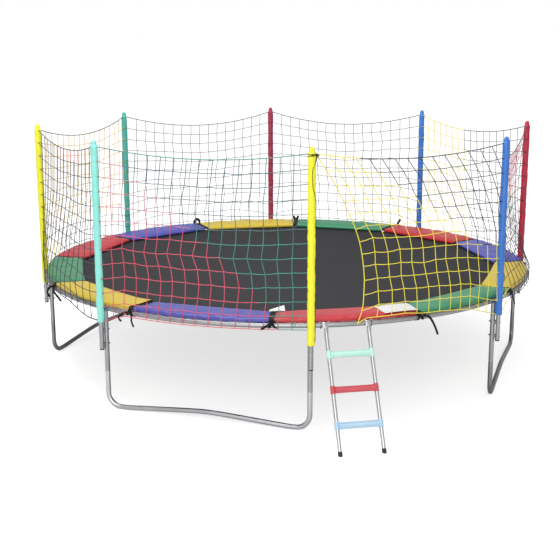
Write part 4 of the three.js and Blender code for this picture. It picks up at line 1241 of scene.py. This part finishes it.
step_outline, rib_outline = rounded_box(0.060, 0.038, 0.014, 5), rounded_box(0.0026, 0.0026, 0.0011, 1)
for name, height in step_heights.items():
    drop = hook_height - height
    reach_down = (drop + hook_radius * math.sin(lean)) / math.cos(lean)
    middle = stile_top + down * reach_down
    tread_steps = np.linspace(-ladder_half + 0.012, ladder_half - 0.012, 13)
    bulge = 1 - 0.05 * (1 - (tread_steps / ladder_half) ** 2)
    parts = [ladder_bar([middle + to_right * s for s in tread_steps], step_outline, across=[1, 0, 0],
                        scale=bulge)]
    # Grip ribs run along the tread's top
    for offset in np.linspace(-0.020, 0.020, 7):
        rib = [middle + to_right * s + np.array([offset, 0, 0.0184 - 0.35 * offset**2 / 0.02])
               for s in (-0.136, -0.133, 0.133, 0.136)]
        parts.append(ladder_bar(rib, rib_outline, across=[1, 0, 0], scale=[0.4, 1, 1, 0.4]))
    for side in (-1, 1):
        rings = np.array([-0.029, -0.0285, -0.0265, -0.012, 0.012, 0.0265, 0.0285, 0.029])
        widths = [0.0168, 0.0176, 0.0181, 0.0179, 0.0179, 0.0181, 0.0176, 0.0168]
        path = [middle + down * ring + to_right * side * ladder_half for ring in rings]
        parts.append(ladder_bar(path, round_tube, across=to_right, scale=widths))
    plastic = moulded_step(f"moulded_polypropylene_{step_slots[name]}", *step_tones[name])
    make_piece(f"ladder_tread_{name}", parts, [plastic], "ladder",
               [f"ladder_step_{name}"])

# ---- Cable ties on the ring beside the hooks ----
# Two narrow ties of the same black plastic as the poles' caps, pulled tight round the tube with
# their heads underneath. They keep the ladder's hooks from sliding along it.
ties = []
for offset in (-0.186, 0.186):
    angle = ladder_turn + math.degrees(offset / bend_radius)
    out, along = compass(angle)
    turn = np.linspace(0, 2 * np.pi, 24, endpoint=False)
    reach = tube_radius + 0.0008
    loop = hoop(spot(angle, ring_radius, ring_height), turn, reach * out, [0, 0, reach])
    ties.append(swept(loop, rounded_box(0.0048, 0.0014, 0.0005, 1), across=along, closed=True))
    lock = spot(angle, ring_radius + 0.012, ring_height - tube_radius + 0.001)
    ties.append(swept([lock, lock - [0, 0, 0.005]], rounded_box(0.008, 0.006, 0.001, 1), across=along))
make_piece("hook_ties", ties, [black_cap], "frame")

# ---- Floor, lamps and background ----
# A plain white studio: a painted floor that keeps the shadow, a soft lamp overhead, a fill lamp in
# front, and a white background that the camera sees brighter than it lights.
def studio_floor():
    """White painted floor: it takes the shadow, and reads as white where nothing shades it."""
    material = bpy.data.materials.new("white_studio_floor")
    material.use_nodes = True
    tree = material.node_tree
    tree.nodes.clear()
    rays = add_node(tree, "ShaderNodeLightPath", {}, {})
    lift = add_node(tree, "ShaderNodeMath", {"operation": "MULTIPLY"}, {
        0: rays.outputs["Is Camera Ray"], 1: 0.66})
    paint_coat = add_node(tree, "ShaderNodeBsdfDiffuse", {}, {"Color": paint("#E6E6E6")})
    glow = add_node(tree, "ShaderNodeEmission", {}, {
        "Color": (1, 1, 1, 1), "Strength": lift.outputs["Value"]})
    both = add_node(tree, "ShaderNodeAddShader", {}, {
        0: paint_coat.outputs["BSDF"], 1: glow.outputs["Emission"]})
    add_node(tree, "ShaderNodeOutputMaterial", {}, {"Surface": both.outputs["Shader"]})
    return material


floor_half = 40.0
floor_mesh = bpy.data.meshes.new("studio_floor")
floor_mesh.from_pydata([(x * floor_half, y * floor_half, -0.0006)
                        for x, y in ((-1, -1), (1, -1), (1, 1), (-1, 1))], [], [(0, 1, 2, 3)])
floor_mesh.materials.append(studio_floor())
floor = bpy.data.objects.new("studio_floor", floor_mesh)
bpy.context.collection.objects.link(floor)

world = bpy.data.worlds.new("studio")
bpy.context.scene.world = world
world.use_nodes = True
tree = world.node_tree
tree.nodes.clear()
rays = add_node(tree, "ShaderNodeLightPath", {}, {})
seen = add_node(tree, "ShaderNodeMath", {"operation": "MAXIMUM"}, {
    0: rays.outputs["Is Camera Ray"], 1: rays.outputs["Is Transmission Ray"]})
ambient = 0.55
level = add_node(tree, "ShaderNodeMapRange", {}, {
    "Value": seen.outputs["Value"], "To Min": ambient, "To Max": 1.0})
sky = add_node(tree, "ShaderNodeBackground", {}, {
    "Color": (1, 1, 1, 1), "Strength": level.outputs["Result"]})
add_node(tree, "ShaderNodeOutputWorld", {}, {"Surface": sky.outputs["Background"]})

# Position from the ring's axis, size, power in watts: overhead, and in front on the left
lamps = [("overhead", (-1.5, -1.0, 7.0), 5.0, 350), ("front", (-1.6, -11.0, 4.6), 9.0, 430)]
for name, place, size, power in lamps:
    lamp = bpy.data.lights.new(name, "AREA")
    lamp.shape, lamp.size, lamp.energy = "DISK", size, power
    lamp_object = bpy.data.objects.new(name, lamp)
    lamp_object.location = (axis_x + place[0], axis_y + place[1], place[2])
    aim = np.array([axis_x, axis_y, 0.8]) - np.array(lamp_object.location)
    lamp_object.rotation_euler = (math.atan2(math.hypot(aim[0], aim[1]), -aim[2]), 0,
                                  math.atan2(aim[1], aim[0]) - math.pi / 2)
    bpy.context.collection.objects.link(lamp_object)

bpy.context.scene.view_settings.view_transform = "Standard"
